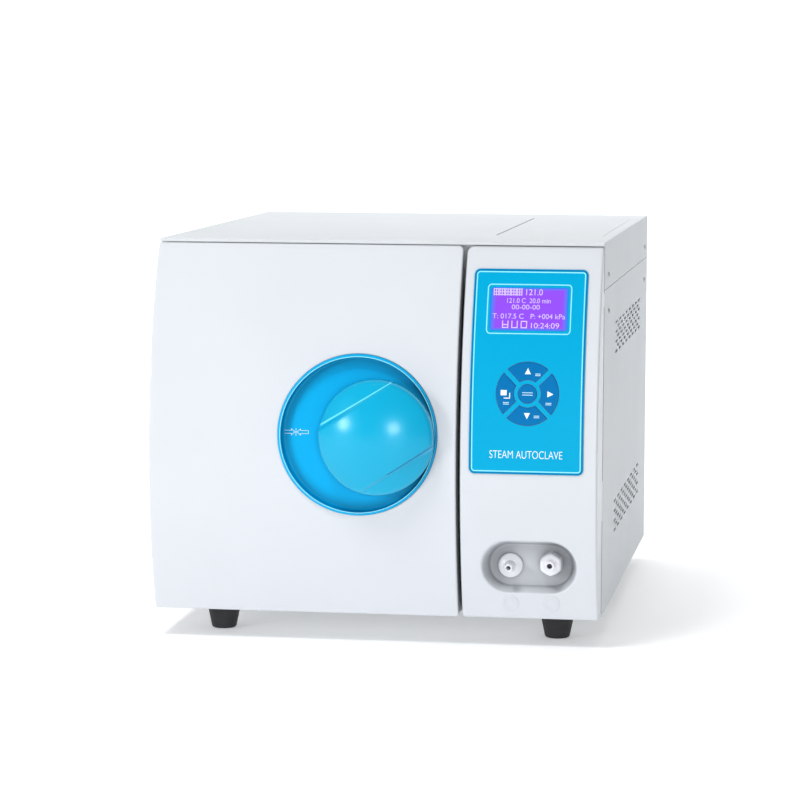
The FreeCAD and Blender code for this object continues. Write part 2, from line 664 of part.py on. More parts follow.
def make_hinges():
    arms, pins, leaves = [], [], []
    for height in ("hinge_high", "hinge_low"):
        low, high = height + " - 7", height + " + 7"
        hole = rod(("hinge_x", "-hinge_out", height + " - 20"), "pin_radius + running", 40, "z")
        arm = fuse(box(("hinge_x", "-hinge_out - 4", low), ("hinge_x + 28", "2 - hinge_out", high)),
                   box(("hinge_x + 22", "-hinge_out - 4", low), ("hinge_x + 28", 0, high)),
                   box(("hinge_x + 21", -3, height + " - 20"), ("hinge_x + 46", 0, height + " + 20")),
                   rod(("hinge_x", "-hinge_out", low), 6.5, 14, "z"))
        arms.append(cut(arm, hole))
        pins.append(rod(("hinge_x", "-hinge_out", height + " - 13"), "pin_radius", 26, "z"))
        for side in (8.5, -11.5):
            start = "%s + %s" % (height, side)
            ear = fuse(box(("hinge_x", "-hinge_out - 5", start),
                           ("hinge_x + 32", "-disc_back", start + " + 3")),
                       rod(("hinge_x", "-hinge_out", start), 5, 3, "z"))
            pin_hole = rod(("hinge_x", "-hinge_out", height + " - 20"), "pin_radius", 40, "z")
            leaves.append(cut(ear, pin_hole))
    node("hinge_arms", group(*arms))
    node("hinge_pins", group(*pins))
    node("hinge_leaves", group(*leaves))


def make_knob():
    tube = across("dish_x", "dish_up", "dish_radius")
    hollow = cut(across("dish_x", "dish_up", "dish_radius - dish_rim"), curved("-dish_deep"))
    plate = curved_plate(tube, "rim_proud", "-dish_deep - dish_floor")
    node("knob_bezel", cut(plate, hollow, across("knob_x", "knob_up", "10")))

    turned = document.addObject("PartDesign::Body", "turned")
    drawing = new_sketch(turned, "XZ_Plane")
    corners = [("spindle", "0"), ("knob_neck", "0"), ("knob_neck", "knob_step"),
               ("knob_radius", "knob_step"), ("knob_radius", "knob_tall - 21.7"),
               ("dome_edge", "knob_tall - 14.6"), ("0", "knob_tall"), ("0", "8"), ("spindle", "8")]
    bends = {4: ("dome_edge + 2.9", "knob_tall - 17.6"), 5: ("dome_edge / 2", "knob_tall - 3.44")}
    draw_outline(drawing, corners, bends)
    revolve(turned, drawing)
    grip = block(("-knob_radius - 1", "-grip_wide / 2", "-1"),
                 ("knob_radius + 1", "grip_wide / 2", "knob_tall + 1"))
    kept = [grip]
    for side, low, high in ((1, "0", "knob_radius + 1"), (-1, "-knob_radius - 1", "0")):
        ball = document.addObject("Part::Sphere", "shelf_ball")
        ball.setExpression("Radius", bound("dome_radius"))
        place(ball, ("%d * shelf_shift" % side, "0", "knob_tall - dome_radius - shelf_drop"))
        half = block(("-knob_radius - 1", low, "-1"), ("knob_radius + 1", high, "knob_tall + 1"))
        kept.append(common(half, ball))
    knob = common(turned, fuse(*kept))
    place(knob, ("knob_x", rel_y("-knob_back"), up("knob_up")))
    lean = FreeCAD.Rotation(FreeCAD.Vector(0, 0, 1), number("grip_angle"))
    knob.Placement.Rotation = AXES["front"].multiply(lean)
    node("door_knob", knob)

    node("knob_spindle", rod(("knob_x", "-knob_back - 8", "knob_up"), "spindle", "knob_back + 8 - 21"))
    flange = ring(("knob_x", "-46.5", "knob_up"), "spindle + running", 14, 2.5)
    tube = ring(("knob_x", "-52", "knob_up"), "spindle + running", 9.9, 12)
    node("spindle_bush", fuse(tube, flange))
    make_latch()


def gear_outline(teeth, first, last):
    """The sector's outline: involute teeth from tooth first to tooth last, counted from +Z."""
    pitch = number("gear_pitch")
    module = number("gear_module")
    backlash = 0.3
    base = pitch * math.cos(math.radians(20))
    tip, root = pitch + module * 0.95, pitch - 1.25 * module
    half_tooth = (math.pi * module / 2 - backlash) / 2 / pitch
    involute = math.tan(math.radians(20)) - math.radians(20)
    points = []
    for tooth in range(first, last + 1):
        middle = 2 * math.pi * tooth / teeth
        flank = []
        for step in range(6):
            radius = max(base, root) + (tip - max(base, root)) * step / 5
            roll = math.acos(min(1, base / radius))
            swing = half_tooth + involute - (math.tan(roll) - roll)
            flank.append((radius, swing))
        flank.insert(0, (root, flank[0][1]))
        points += [(radius, middle - swing) for radius, swing in flank]
        points += [(radius, middle + swing) for radius, swing in reversed(flank)]
    return points


def make_latch():
    x = number("knob_x")
    z = number(up("knob_up"))
    y = number(rel_y("-gear_back - gear_thick"))
    pitch = number("gear_pitch")
    module = number("gear_module")
    teeth = round(2 * pitch / module)
    spots = []
    for radius, swing in gear_outline(teeth, -8, 2):
        spots.append(FreeCAD.Vector(x + radius * math.sin(swing), y, z + radius * math.cos(swing)))
    spots.append(FreeCAD.Vector(x, y, z))
    spots.append(spots[0])
    blade = Part.Face(Part.makePolygon(spots)).extrude(FreeCAD.Vector(0, number("gear_thick"), 0))
    blade = shape_node("sector_blade", blade)
    hub = rod(("knob_x", "-gear_back - gear_thick - 1", "knob_up"), 11, "gear_thick + 2")
    bore = rod(("knob_x", -70, "knob_up"), "spindle", 70)
    node("lock_sector", cut(fuse(blade, hub), bore))

    step = math.pi * module
    low = z + pitch - module * 0.95
    high = z + pitch + 1.25 * module
    lean = math.tan(math.radians(20))
    rack = []
    for tooth in range(-4, 3):
        centre = x + (tooth + 0.5) * step
        thin = step / 4 - lean * module * 0.95
        thick = step / 4 + lean * 1.25 * module
        corners = [(-thick, high + 1), (-thick, high), (-thin, low),
                   (thin, low), (thick, high), (thick, high + 1)]
        outline = [FreeCAD.Vector(centre + dx, y, height) for dx, height in corners]
        face = Part.Face(Part.makePolygon(outline + outline[:1]))
        rack.append(shape_node("rack_tooth", face.extrude(FreeCAD.Vector(0, number("gear_thick"), 0))))
    bar_low = "knob_up + gear_pitch + 1.25 * gear_module"
    bar_high = bar_low + " + bolt_tall"
    bar = box(("bolt_tail", "-bolt_front", bar_low), ("bolt_tip", "-bolt_back", bar_high))
    node("lock_bolt", fuse(bar, *rack))

    guides = []
    for start in (-46, 50):
        block = box((start, "-bolt_front - 4", "knob_up + 20"),
                    (start + 10, "-disc_front - 3", "knob_up + 46"))
        guides.append(cut(block, box((start - 1, "-bolt_front - 0.1", bar_low + " - 0.1"),
                                     (start + 11, "0.1 - bolt_back", bar_high + " + 0.1"))))
    plate = box((-60, "-disc_front - 3", "knob_up - 30"), (70, "-disc_front", "knob_up + 50"))
    node("latch_frame", fuse(plate, *guides))
    keeper = box(("column_left + shell + 2", "-bolt_front - 5", "knob_up + 18"),
                 ("column_left + shell + 22", 0, "knob_up + 48"))
    mouth = box(("column_left", "-bolt_front - 1.5", bar_low + " - 1.5"),
                ("column_left + shell + 14", "1.5 - bolt_back", bar_high + " + 1.5"))
    node("bolt_keeper", cut(keeper, mouth))


def cap_middle(radius, rise):
    """The point half way out on the chamber's dished end, a sphere's cap centred on its axis."""
    ball = "((%s)^2 + (%s)^2) / (2 * (%s))" % (radius, rise, rise)
    drop = "%s - sqrt((%s)^2 - ((%s) / 2)^2)" % (ball, ball, radius)
    return "(%s) / 2" % radius, "chamber_deep + (%s) - (%s)" % (rise, drop)


def make_chamber():
    vessel = document.addObject("PartDesign::Body", "chamber")
    drawing = new_sketch(vessel, "XZ_Plane")
    outer = "bore + vessel_wall"
    corners = [("bore", "-flange_thick"), ("flange", "-flange_thick"), ("flange", "0"), (outer, "0"),
               (outer, "chamber_deep"), ("0", "chamber_deep + end_dish + vessel_wall"),
               ("0", "chamber_deep + end_dish"), ("bore", "chamber_deep")]
    bends = {4: cap_middle(outer, "end_dish + vessel_wall"), 6: cap_middle("bore", "end_dish")}
    draw_outline(drawing, corners, bends)
    revolve(vessel, drawing)
    place(vessel, ("chamber_x", rel_y(0), up("chamber_up")), "y")
    node("chamber", vessel)

    axis = ("chamber_x", 130, "chamber_up")
    terminal = box(("chamber_x - 12", 150, "chamber_up + bore + 6.2"),
                   ("chamber_x + 12", 180, "chamber_up + bore + 12"))
    band = ring(axis, outer + " + 0.2", outer + " + band_thick", 70)
    node("heater_band", fuse(band, terminal))
    jacket = ring(("chamber_x", 12, "chamber_up"), "bore + felt_in", "bore + felt_out", "chamber_deep")
    gap = box(("chamber_x - 20", 140, "chamber_up + bore"),
              ("chamber_x + 20", 190, "chamber_up + bore + 30"))
    node("insulation", cut(jacket, gap))

    bars = []
    for height in ("rail_low", "rail_middle", "rail_top"):
        for start in ("chamber_x - rack_half + 1", "chamber_x + rack_half - rail_wide - 1"):
            bars.append(box((start, "rack_front - 2", "chamber_up + " + height),
                            (start + " + rail_wide", "rack_rear + 6", "chamber_up + %s + rail" % height)))
    for back in ("rack_front", "(rack_front + rack_rear) / 2", "rack_rear"):
        for start in ("chamber_x - rack_half", "chamber_x + rack_half - post"):
            bars.append(box((start, back, "chamber_up - 60"),
                            (start + " + post", back + " + post_deep", "chamber_up + rail_top + 10")))
    for back in ("rack_front", "rack_rear"):
        bars.append(box(("chamber_x - rack_half", back, "chamber_up - 59 - rail"),
                        ("chamber_x + rack_half", back + " + post_deep", "chamber_up - 59")))
    node("tray_rack", fuse(*bars))
    make_tray("tray_lower", "rail_low + rail")
    make_tray("tray_upper", "rail_middle + rail")


def make_tray(label, height):
    body = document.addObject("PartDesign::Body", label)
    drawing = new_sketch(body, "XY_Plane")
    rectangle(drawing, "-tray_half", "0", "tray_half", "tray_long")
    pad(body, drawing, "tray_steel")
    drawing = new_sketch(body, "XY_Plane", "tray_steel")
    rectangle(drawing, "-tray_half", "0", "tray_half", "tray_long")
    rectangle(drawing, "tray_steel - tray_half", "tray_steel", "tray_half - tray_steel",
              "tray_long - tray_steel")
    pad(body, drawing, "tray_rim")
    drawing = new_sketch(body, "XY_Plane", "tray_steel / 2")
    slot_outline(drawing, "10 - tray_half", "15", "18", "6")
    opening = pocket(body, drawing)
    grid(body, opening, drawing, 6, "26.4", 12, "28")
    place(body, ("chamber_x", rel_y(22), up("chamber_up + %s" % height)))
    node(label, body)


def make_tank():
    low = ("lid_left + 0.5", "lid_front", "tank_low")
    high = ("lid_right - 0.5", "lid_rear", "body_high - 8")
    inner = box(*[[text + " " + sign + " tank_wall" for text, sign in zip(corner, signs)]
                  for corner, signs in ((low, "+++"), (high, "--+"))])
    shell = cut(box(low, high), inner)
    foot = ("lid_left + post_x", "lid_front + post_y", "tank_low + tank_wall")
    node("water_tank", fuse(shell, rod(foot, 3, 150, "z")))
    node("tank_float", ring((foot[0], foot[1], foot[2] + " + 4"), "3.1", "float_radius", 22, "z"))


def pipe(points, radius):
    """A pipe along straight runs with a ball at each bend."""
    pieces = []
    for start, end in zip(points, points[1:]):
        lengths = [b - a for a, b in zip(start, end)]
        axis = max(range(3), key=lambda index: abs(lengths[index]))
        first = start if lengths[axis] > 0 else end
        pieces.append(rod(first, radius, abs(lengths[axis]), "xyz"[axis]))
    for x, y, z in points[1:-1]:
        ball = document.addObject("Part::Sphere", "bend")
        ball.Radius = radius
        place(ball, (x, rel_y(y), up(z)))
        pieces.append(ball)
    return fuse(*pieces)


def make_internals():
    motor = rod(("pump_x", "pump_y", "pump_up"), "pump_radius", "motor_long")
    head = box(("pump_x - 26", "pump_y + motor_long", "pump_up - 27"),
               ("pump_x + 26", "pump_y + motor_long + 30", "pump_up + 29"))
    stand = box(("pump_x - 24", "pump_y + 10", 2), ("pump_x + 24", "pump_y + 90", "pump_up - 27"))
    node("water_pump", fuse(motor, head, stand))
    valves = [box(("pump_x - 32", "valve_y - 12", "valve_up"),
                  ("pump_x + 46", "valve_y + 12", "valve_up + 20"))]
    for side in (-20, 7, 34):
        start = "pump_x + %d" % side
        valves.append(rod((start, "valve_y", "valve_up + 20"), "valve_radius", "valve_tall", "z"))
        valves.append(rod((start, "valve_y", "valve_up + 20 + valve_tall"), 4, 6, "z"))
    node("solenoid_valves", fuse(*valves))
    board = [box(("board_x", 150, 30), ("board_x + board_thick", 330, 150))]
    for y, z, tall in ((165, 45, 18), (205, 50, 26), (250, 45, 14), (290, 95, 22), (180, 100, 20)):
        board.append(box(("board_x - %d" % tall, y, z), ("board_x", y + 26, z + 30)))
    node("power_board", fuse(*board))
    node("steam_pipes", group(
        pipe([(130, 84.2, 106), (130, 200, 106), (130, 200, 169.8)], number("pipe_radius")),
        pipe([(184, 84.2, 106), (184, 120, 106), (184, 120, 160), (184, 385, 160), (150, 385, 160),
              (150, 385, 74.2)], number("pipe_radius")),
        pipe([(-58, 440, 180), (-58, 462, 180), (-58, 462, 290), (50, 462, 290)],
             number("pipe_radius") + 1)))
    half = "fan_wide / 2"
    fins = []
    for index in range(12):
        height = "fan_up - 55 + %d * fin_pitch" % index
        fins.append(box(("fan_x - " + half, "fin_front", height),
                        ("fan_x + " + half, "fin_rear", height + " + 1")))
    tubes = [rod(("fan_x + %d" % side, "(fin_front + fin_rear) / 2", "fan_up - " + half), "tube_radius",
                 "fan_wide", "z") for side in (-45, -15, 15, 45)]
    node("condenser", fuse(*fins, *tubes))
    make_fan()
    make_rear_fittings()


def make_fan():
    half = "fan_wide / 2"
    square = box(("fan_x - " + half, "fan_front", "fan_up - " + half),
                 ("fan_x + " + half, "fan_front + fan_thick", "fan_up + " + half))
    frame = cut(square, rod(("fan_x", "fan_front - 8", "fan_up"), half + " - 3", "fan_thick + 15"))
    reach = half + " - 2"
    spokes = [box(("fan_x - (%s)" % reach, "fan_front", "fan_up - spoke"),
                  ("fan_x + " + reach, "fan_front + spoke", "fan_up + spoke")),
              box(("fan_x - spoke", "fan_front", "fan_up - (%s)" % reach),
                  ("fan_x + spoke", "fan_front + spoke", "fan_up + " + reach)),
              rod(("fan_x", "fan_front", "fan_up"), "hub", "spoke"),
              rod(("fan_x", "fan_front + spoke", "fan_up"), "spoke", 8)]
    node("fan_frame", fuse(frame, *spokes))
    blades = [ring(("fan_x", "fan_front + 4", "fan_up"), "spoke + running", "hub", 18)]
    centre = FreeCAD.Vector(number("fan_x"), number(rel_y("fan_front + 13")), number(up("fan_up")))
    long, thick, wide, pitch, count = 34, 1.6, 22, 55, 7
    for index in range(count):
        blade = Part.makeBox(long, thick, wide, FreeCAD.Vector(number("hub") - 1.5, -thick / 2, -wide / 2))
        blade.rotate(FreeCAD.Vector(), FreeCAD.Vector(1, 0, 0), pitch)
        blade.rotate(FreeCAD.Vector(), FreeCAD.Vector(0, 1, 0), 360 * index / count)
        blade.translate(centre)
        blades.append(shape_node("blade", blade))
    node("fan_rotor", fuse(*blades))


def rear_block(half_wide, start, end, centre, half_high):
    """A block round the inlet's centre line, between two places behind the rear panel's face."""
    face = "body_deep - steel - 0.2"
    return box(("inlet_x - %s" % half_wide, "%s + %s" % (face, start), "%s - %s" % (centre, half_high)),
               ("inlet_x + %s" % half_wide, "%s + %s" % (face, end), "%s + %s" % (centre, half_high)))


def make_rear_fittings():
    face = "body_deep - steel - 0.2"
    inlet = fuse(rear_block(29, 0, 2.5, "inlet_up", 16), rear_block(23.5, -22, 0, "inlet_up", 13.5))
    pins = [box(("inlet_x + %d" % (x - 1), face + " - 16", "inlet_up + %d" % z),
                ("inlet_x + %d" % (x + 1), face + " - 1", "inlet_up + %d" % (z + 4)))
            for x, z in ((-7, -3), (0, 2), (7, -3))]
    inlet = fuse(cut(inlet, rear_block(12, -15, 3, "inlet_up", 8)), *pins)
    frame = fuse(rear_block(16, 0, 2, "switch_up", 13), rear_block(13.5, -20, 0, "switch_up", 10.5))
    node("power_inlet", group(inlet, cut(frame, rear_block(11.5, -17, 3, "switch_up", 8.5))))
    rocker = document.addObject("PartDesign::Body", "switch_rocker")
    drawing = new_sketch(rocker, "XY_Plane")
    corners = [("-9.8", "3.2"), ("0", "1"), ("9.8", "-1.5"), ("7", "-9"), ("-7", "-9")]
    draw_outline(drawing, corners)
    pad(rocker, drawing, "16", middle=True)
    place(rocker, ("inlet_x", rel_y(face), up("switch_up")))
    node("switch_rocker", rocker)

    valve = fuse(rod(("relief_x", "valve_front", "relief_up"), 8, "body_deep - valve_front"),
                 rod(("relief_x", face, "relief_up"), 13, 5),
                 rod(("relief_x", face + " + 5", "relief_up"), 8, 3))
    bore = rod(("relief_x", "valve_front + 50", "relief_up"), "stem + running", 60)
    node("safety_valve", cut(valve, bore))
    start = "valve_front + 51"
    stem = rod(("relief_x", start, "relief_up"), "stem", "body_deep + rear_out - 16.8 - (%s)" % start)
    loop = document.addObject("Part::Torus", "ring")
    loop.setExpression("Radius1", bound("ring_radius"))
    loop.setExpression("Radius2", bound("ring_wire"))
    place(loop, ("relief_x", rel_y("body_deep + rear_out - ring_radius - ring_wire"), up("relief_up")), "x")
    node("safety_ring", fuse(stem, loop))
    barb = fuse(rod(("barb_x", "body_deep - 20", "barb_up"), "tail", 20),
                rod(("barb_x", face, "barb_up"), 9, 4),
                rod(("barb_x", face, "barb_up"), "nozzle", "rear_out"))
    node("exhaust_barb", cut(barb, rod(("barb_x", 500, "barb_up"), 2.5, 90)))


def check_document():
    """Stops if any object failed, or if a sub-part has no sound shape."""
    document.recompute()
    for item in document.Objects:
        if "Invalid" in item.State or "Error" in item.State:
            raise RuntimeError("%s (%s) failed: %s" % (item.Name, item.Label, item.State))
    for piece in nodes:
        if piece.Shape.isNull() or not piece.Shape.isValid() or not piece.Shape.Solids:
            raise RuntimeError("%s has no sound solid" % piece.Label)


def main():
    make_casing()
    make_column()
    make_control_panel()
    make_fittings()
    make_door()
    make_knob()
    make_chamber()
    make_tank()
    make_internals()
    check_document()
    os.makedirs("parts", exist_ok=True)
    for piece in nodes:
        piece.Shape.exportStep("parts/%s.step" % piece.Label)
    print("nodes", len(nodes))


main()
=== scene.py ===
import json
import math

import bmesh
import bpy
from mathutils import Matrix, Vector


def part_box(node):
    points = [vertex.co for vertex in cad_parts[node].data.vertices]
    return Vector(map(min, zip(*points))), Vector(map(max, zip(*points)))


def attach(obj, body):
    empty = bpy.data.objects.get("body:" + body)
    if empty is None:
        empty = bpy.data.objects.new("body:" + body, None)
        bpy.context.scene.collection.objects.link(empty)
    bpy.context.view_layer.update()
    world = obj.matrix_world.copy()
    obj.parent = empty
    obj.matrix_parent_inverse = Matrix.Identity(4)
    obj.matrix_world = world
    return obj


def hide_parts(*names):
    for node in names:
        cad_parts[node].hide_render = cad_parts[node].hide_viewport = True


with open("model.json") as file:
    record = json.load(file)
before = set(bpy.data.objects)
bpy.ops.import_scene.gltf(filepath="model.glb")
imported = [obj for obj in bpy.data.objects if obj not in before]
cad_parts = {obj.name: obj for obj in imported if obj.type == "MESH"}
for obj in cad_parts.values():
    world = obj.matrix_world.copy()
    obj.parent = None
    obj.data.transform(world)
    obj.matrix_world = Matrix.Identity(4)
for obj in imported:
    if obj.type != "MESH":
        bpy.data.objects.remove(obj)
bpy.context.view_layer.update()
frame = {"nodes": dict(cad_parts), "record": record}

MM = 0.001

# ---- places read from the frame
PANEL_LOW, PANEL_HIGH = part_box("right_side_panel")
FRONT = PANEL_LOW.y                    # the casing's front edge
UNDER = PANEL_LOW.z                    # the casing's underside
SIDE = PANEL_HIGH.x                    # half the casing's width
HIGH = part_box("top_cover")[1].z - UNDER

# how far the bulged front stands forward of the casing at the bottom, the middle and the top
BULGE_LOW, BULGE_MID, BULGE_TOP = 34 * MM, 60 * MM, 8 * MM
SEAM = 6.5 * MM                        # the shadow gap between the column and the side panel
STRIP = 6 * MM                         # height of the strips in which a plate follows the bulge
WALL_DEEP = 40 * MM                    # how far back the door's and the column's walls run
WALL_THICK = 2.5 * MM
RECESS_DEEP = 23 * MM                  # the hose recess, from the bulge to its floor
NOZZLE_DEEP = 30 * MM                  # the nozzles' flange, forward of the casing's edge
FILM_THICK = 0.8 * MM                  # how far the control film stands out
LCD_HALF_WIDE, LCD_HALF_HIGH = 37.3 * MM, 20 * MM
PRINT_TALL = 0.06 * MM                 # height of the display's print and of the caption
KEY_PRINT_TALL = 0.05 * MM
KEY_INNER, KEY_OUTER, KEY_WEB = 13 * MM, 30.5 * MM, 4.6 * MM   # the film's openings for the keys


def middle(node):
    low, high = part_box(node)
    return (low + high) / 2


def bulge_circle():
    """Centre and radius of the arc through the bulge's three points, in (out, height)."""
    (ax, az), (bx, bz), (cx, cz) = (BULGE_LOW, 0), (BULGE_MID, HIGH / 2), (BULGE_TOP, HIGH)
    turn = 2 * (ax * (bz - cz) + bx * (cz - az) + cx * (az - bz))
    first, second, third = ax * ax + az * az, bx * bx + bz * bz, cx * cx + cz * cz
    x = (first * (bz - cz) + second * (cz - az) + third * (az - bz)) / turn
    z = (first * (cx - bx) + second * (ax - cx) + third * (bx - ax)) / turn
    return x, z, math.hypot(ax - x, az - z)


ARC_OUT, ARC_UP, ARC_RADIUS = bulge_circle()


def bulge(z):
    """How far the front stands forward of the casing's edge at a height in the frame."""
    return ARC_OUT + math.sqrt(ARC_RADIUS ** 2 - (z - UNDER - ARC_UP) ** 2)


def on_bulge(x, z, depth):
    """A point a little behind the front's surface."""
    return FRONT - bulge(z) + depth


# ---- camera, light and floor

def make_camera():
    data = bpy.data.cameras.new("photo_camera")
    data.sensor_width = 36
    data.lens = 141.6
    camera = bpy.data.objects.new("photo_camera", data)
    camera.location = (486.6 * MM, FRONT - 3028.2 * MM, UNDER + 542.3 * MM)
    yaw, pitch, roll = math.radians(8.774), math.radians(6.198), math.radians(0.178)
    turn = Matrix.Rotation(yaw, 4, "Z") @ Matrix.Rotation(math.pi / 2 - pitch, 4, "X")
    camera.rotation_euler = (turn @ Matrix.Rotation(roll, 4, "Z")).to_euler()
    bpy.context.scene.collection.objects.link(camera)
    bpy.context.scene.camera = camera


def make_light(name, place, aim, size, power, glossy=True):
    data = bpy.data.lights.new(name, "AREA")
    data.shape = "DISK"
    data.size = size
    data.energy = power
    lamp = bpy.data.objects.new(name, data)
    lamp.visible_glossy = glossy
    lamp.location = place
    lamp.rotation_euler = (Vector(aim) - Vector(place)).to_track_quat("-Z", "Y").to_euler()
    bpy.context.scene.collection.objects.link(lamp)


def lamp_place(turn, rise, away):
    """A place round the front: degrees to the right of straight ahead and above level, and distance."""
    swing, lift = math.radians(turn), math.radians(rise)
    level = away * math.cos(lift)
    return (level * math.sin(swing), FRONT - level * math.cos(swing), 0.2 + away * math.sin(lift))


def make_studio():
    bpy.context.scene.view_settings.view_transform = "Standard"
    world = bpy.data.worlds.new("studio")
    world.use_nodes = True
    world.node_tree.nodes["Background"].inputs["Color"].default_value = (0.95, 0.975, 1.0, 1)
    world.node_tree.nodes["Background"].inputs["Strength"].default_value = 0.27
    bpy.context.scene.world = world
    aim = (0, FRONT, 0.2)
    make_light("key_soft_box", lamp_place(-26, 60, 2.4), aim, 0.7, 26, glossy=False)
    make_light("left_soft_box", lamp_place(-42, 9, 2.6), aim, 0.55, 17)
    make_light("right_soft_box", lamp_place(15, 7, 3.4), aim, 0.74, 24)
    make_light("overhead_soft_box", (-0.4, -0.2, 2.8), (0, 0.1, 0.3), 2.0, 2.5, glossy=False)
    make_light("backdrop_light", (0.0, 1.2, 2.6), (0, 3.2, 0.6), 2.4, 60, glossy=False)
    near_end, flat_end, curve, top, half_wide = -6.0, 2.2, 1.2, 4.0, 5.0
    floor = bmesh.new()
    outline = [(near_end, 0.0), (flat_end, 0.0)]
    steps = 12
    for step in range(1, steps + 1):
        angle = math.pi / 2 * step / steps
        outline.append((flat_end + curve * math.sin(angle), curve * (1 - math.cos(angle))))
    outline.append((flat_end + curve, top))
    rows = [[floor.verts.new((x, y, z)) for x in (-half_wide, half_wide)] for y, z in outline]
    for near, far in zip(rows, rows[1:]):
        floor.faces.new((near[0], near[1], far[1], far[0]))
    sweep = mesh_object("studio_floor", floor, floor_material())


# ---- materials

def link_nodes(name):
    material = bpy.data.materials.new(name)
    material.use_nodes = True
    tree = material.node_tree
    return material, tree, tree.nodes["Principled BSDF"]


def noise_of(tree, scale, detail=3.0, stretch=None):
    """A noise texture laid in the object's own metres."""
    place = tree.nodes.new("ShaderNodeTexCoord")
    noise = tree.nodes.new("ShaderNodeTexNoise")
    noise.inputs["Scale"].default_value = scale
    noise.inputs["Detail"].default_value = detail
    source = place.outputs["Object"]
    if stretch:
        mapping = tree.nodes.new("ShaderNodeMapping")
        mapping.inputs["Scale"].default_value = stretch
        tree.links.new(source, mapping.inputs["Vector"])
        source = mapping.outputs["Vector"]
    tree.links.new(source, noise.inputs["Vector"])
    return noise


def ramp_of(tree, source, low, high, start=0.3, end=0.7):
    ramp = tree.nodes.new("ShaderNodeValToRGB")
    ramp.color_ramp.elements[0].position = start
    ramp.color_ramp.elements[0].color = (*low, 1)
    ramp.color_ramp.elements[1].position = end
    ramp.color_ramp.elements[1].color = (*high, 1)
    tree.links.new(source, ramp.inputs["Fac"])
    return ramp


def surface(name, colour, rough, grain, grain_depth, mottle, mottle_scale=9, metal=0.0, coat=0.0,
            stretch=None, wear=None, sheen=0.0, ior=1.5, shine=None, painted_shade_reach=0.0):
    """A finish whose colour varies slightly, with uneven gloss and a fine grain; a reach, if given, paints
    shade into nooks within it (ambient occlusion in the colour).
    """
    material, tree, shader = link_nodes(name)
    shader.inputs["Metallic"].default_value = metal
    shader.inputs["IOR"].default_value = ior
    if coat:
        shader.inputs["Coat Weight"].default_value = coat
        shader.inputs["Coat Roughness"].default_value = 0.2
    if shine:
        shader.inputs["Specular Tint"].default_value = (*shine, 1)
    if sheen:
        shader.inputs["Sheen Weight"].default_value = sheen
    cloud = noise_of(tree, mottle_scale, 4.0)
    dark = tuple(max(0, value * (1 - mottle)) for value in colour)
    light = tuple(min(1, value * (1 + mottle)) for value in colour)
    tint = ramp_of(tree, cloud.outputs["Fac"], dark, light)
    shade = tint.outputs["Color"]
    if wear:
        edge = tree.nodes.new("ShaderNodeNewGeometry")
        mask = ramp_of(tree, edge.outputs["Pointiness"], (0, 0, 0), (1, 1, 1), 0.53, 0.60)
        mix = tree.nodes.new("ShaderNodeMix")
        mix.data_type = "RGBA"
        mix.inputs["B"].default_value = (*wear, 1)
        tree.links.new(mask.outputs["Color"], mix.inputs["Factor"])
        tree.links.new(shade, mix.inputs["A"])
        shade = mix.outputs["Result"]
    # painted shade: ambient occlusion darkens the base colour in nooks and recesses
    if painted_shade_reach:
        depth = tree.nodes.new("ShaderNodeAmbientOcclusion")
        depth.samples = 12
        depth.inputs["Distance"].default_value = painted_shade_reach
        tree.links.new(shade, depth.inputs["Color"])
        shade = depth.outputs["Color"]
    tree.links.new(shade, shader.inputs["Base Color"])
    fine = noise_of(tree, grain, 2.0, stretch)
    gloss = ramp_of(tree, fine.outputs["Fac"], (rough[0],) * 3, (rough[1],) * 3)
    tree.links.new(gloss.outputs["Color"], shader.inputs["Roughness"])
    bump = tree.nodes.new("ShaderNodeBump")
    bump.inputs["Strength"].default_value = grain_depth
    bump.inputs["Distance"].default_value = 0.0006
    tree.links.new(fine.outputs["Fac"], bump.inputs["Height"])
    tree.links.new(bump.outputs["Normal"], shader.inputs["Normal"])
    return material


def floor_material():
    material = surface("pale_floor", (0.92, 0.925, 0.93), rough=(0.6, 0.75), grain=60, grain_depth=0.0,
                       mottle=0.004, mottle_scale=2)
    shader = material.node_tree.nodes["Principled BSDF"]
    shader.inputs["Emission Color"].default_value = (1, 1, 1, 1)
    shader.inputs["Emission Strength"].default_value = 0.26
    return material


def calculation(tree, operation, source, value=None):
    """The output of a calculation on a value from another node."""
    node = tree.nodes.new("ShaderNodeMath")
    node.operation = operation
    tree.links.new(source, node.inputs[0])
    if value is not None:
        node.inputs[1].default_value = value
    return node.outputs[0]


def glow(name, colour, edge_colour, centre, half_wide, half_high):
    """The lit display: one colour in the middle that cools towards the window's edges."""
    material, tree, shader = link_nodes(name)
    place = tree.nodes.new("ShaderNodeTexCoord")
    split = tree.nodes.new("ShaderNodeSeparateXYZ")
    tree.links.new(place.outputs["Object"], split.inputs["Vector"])
    reach = []
    for axis, start, half in (("X", centre[0], half_wide), ("Z", centre[2], half_high)):
        shift = calculation(tree, "SUBTRACT", split.outputs[axis], start)
        share = calculation(tree, "DIVIDE", shift, half)
        reach.append(calculation(tree, "ABSOLUTE", share))
    far = calculation(tree, "MAXIMUM", reach[0])
    tree.links.new(reach[1], far.node.inputs[1])
    ramp = ramp_of(tree, far, colour, edge_colour, 0.86, 1.0)
    grain = noise_of(tree, 2600, 1.0)
    mix = tree.nodes.new("ShaderNodeMix")
    mix.data_type = "RGBA"
    mix.blend_type = "MULTIPLY"
    mix.inputs["Factor"].default_value = 0.12
    tree.links.new(ramp.outputs["Color"], mix.inputs["A"])
    tree.links.new(grain.outputs["Fac"], mix.inputs["B"])
    tree.links.new(mix.outputs["Result"], shader.inputs["Base Color"])
    tree.links.new(mix.outputs["Result"], shader.inputs["Emission Color"])
    shader.inputs["Emission Strength"].default_value = 0.55
    shader.inputs["Roughness"].default_value = 0.12
    return material


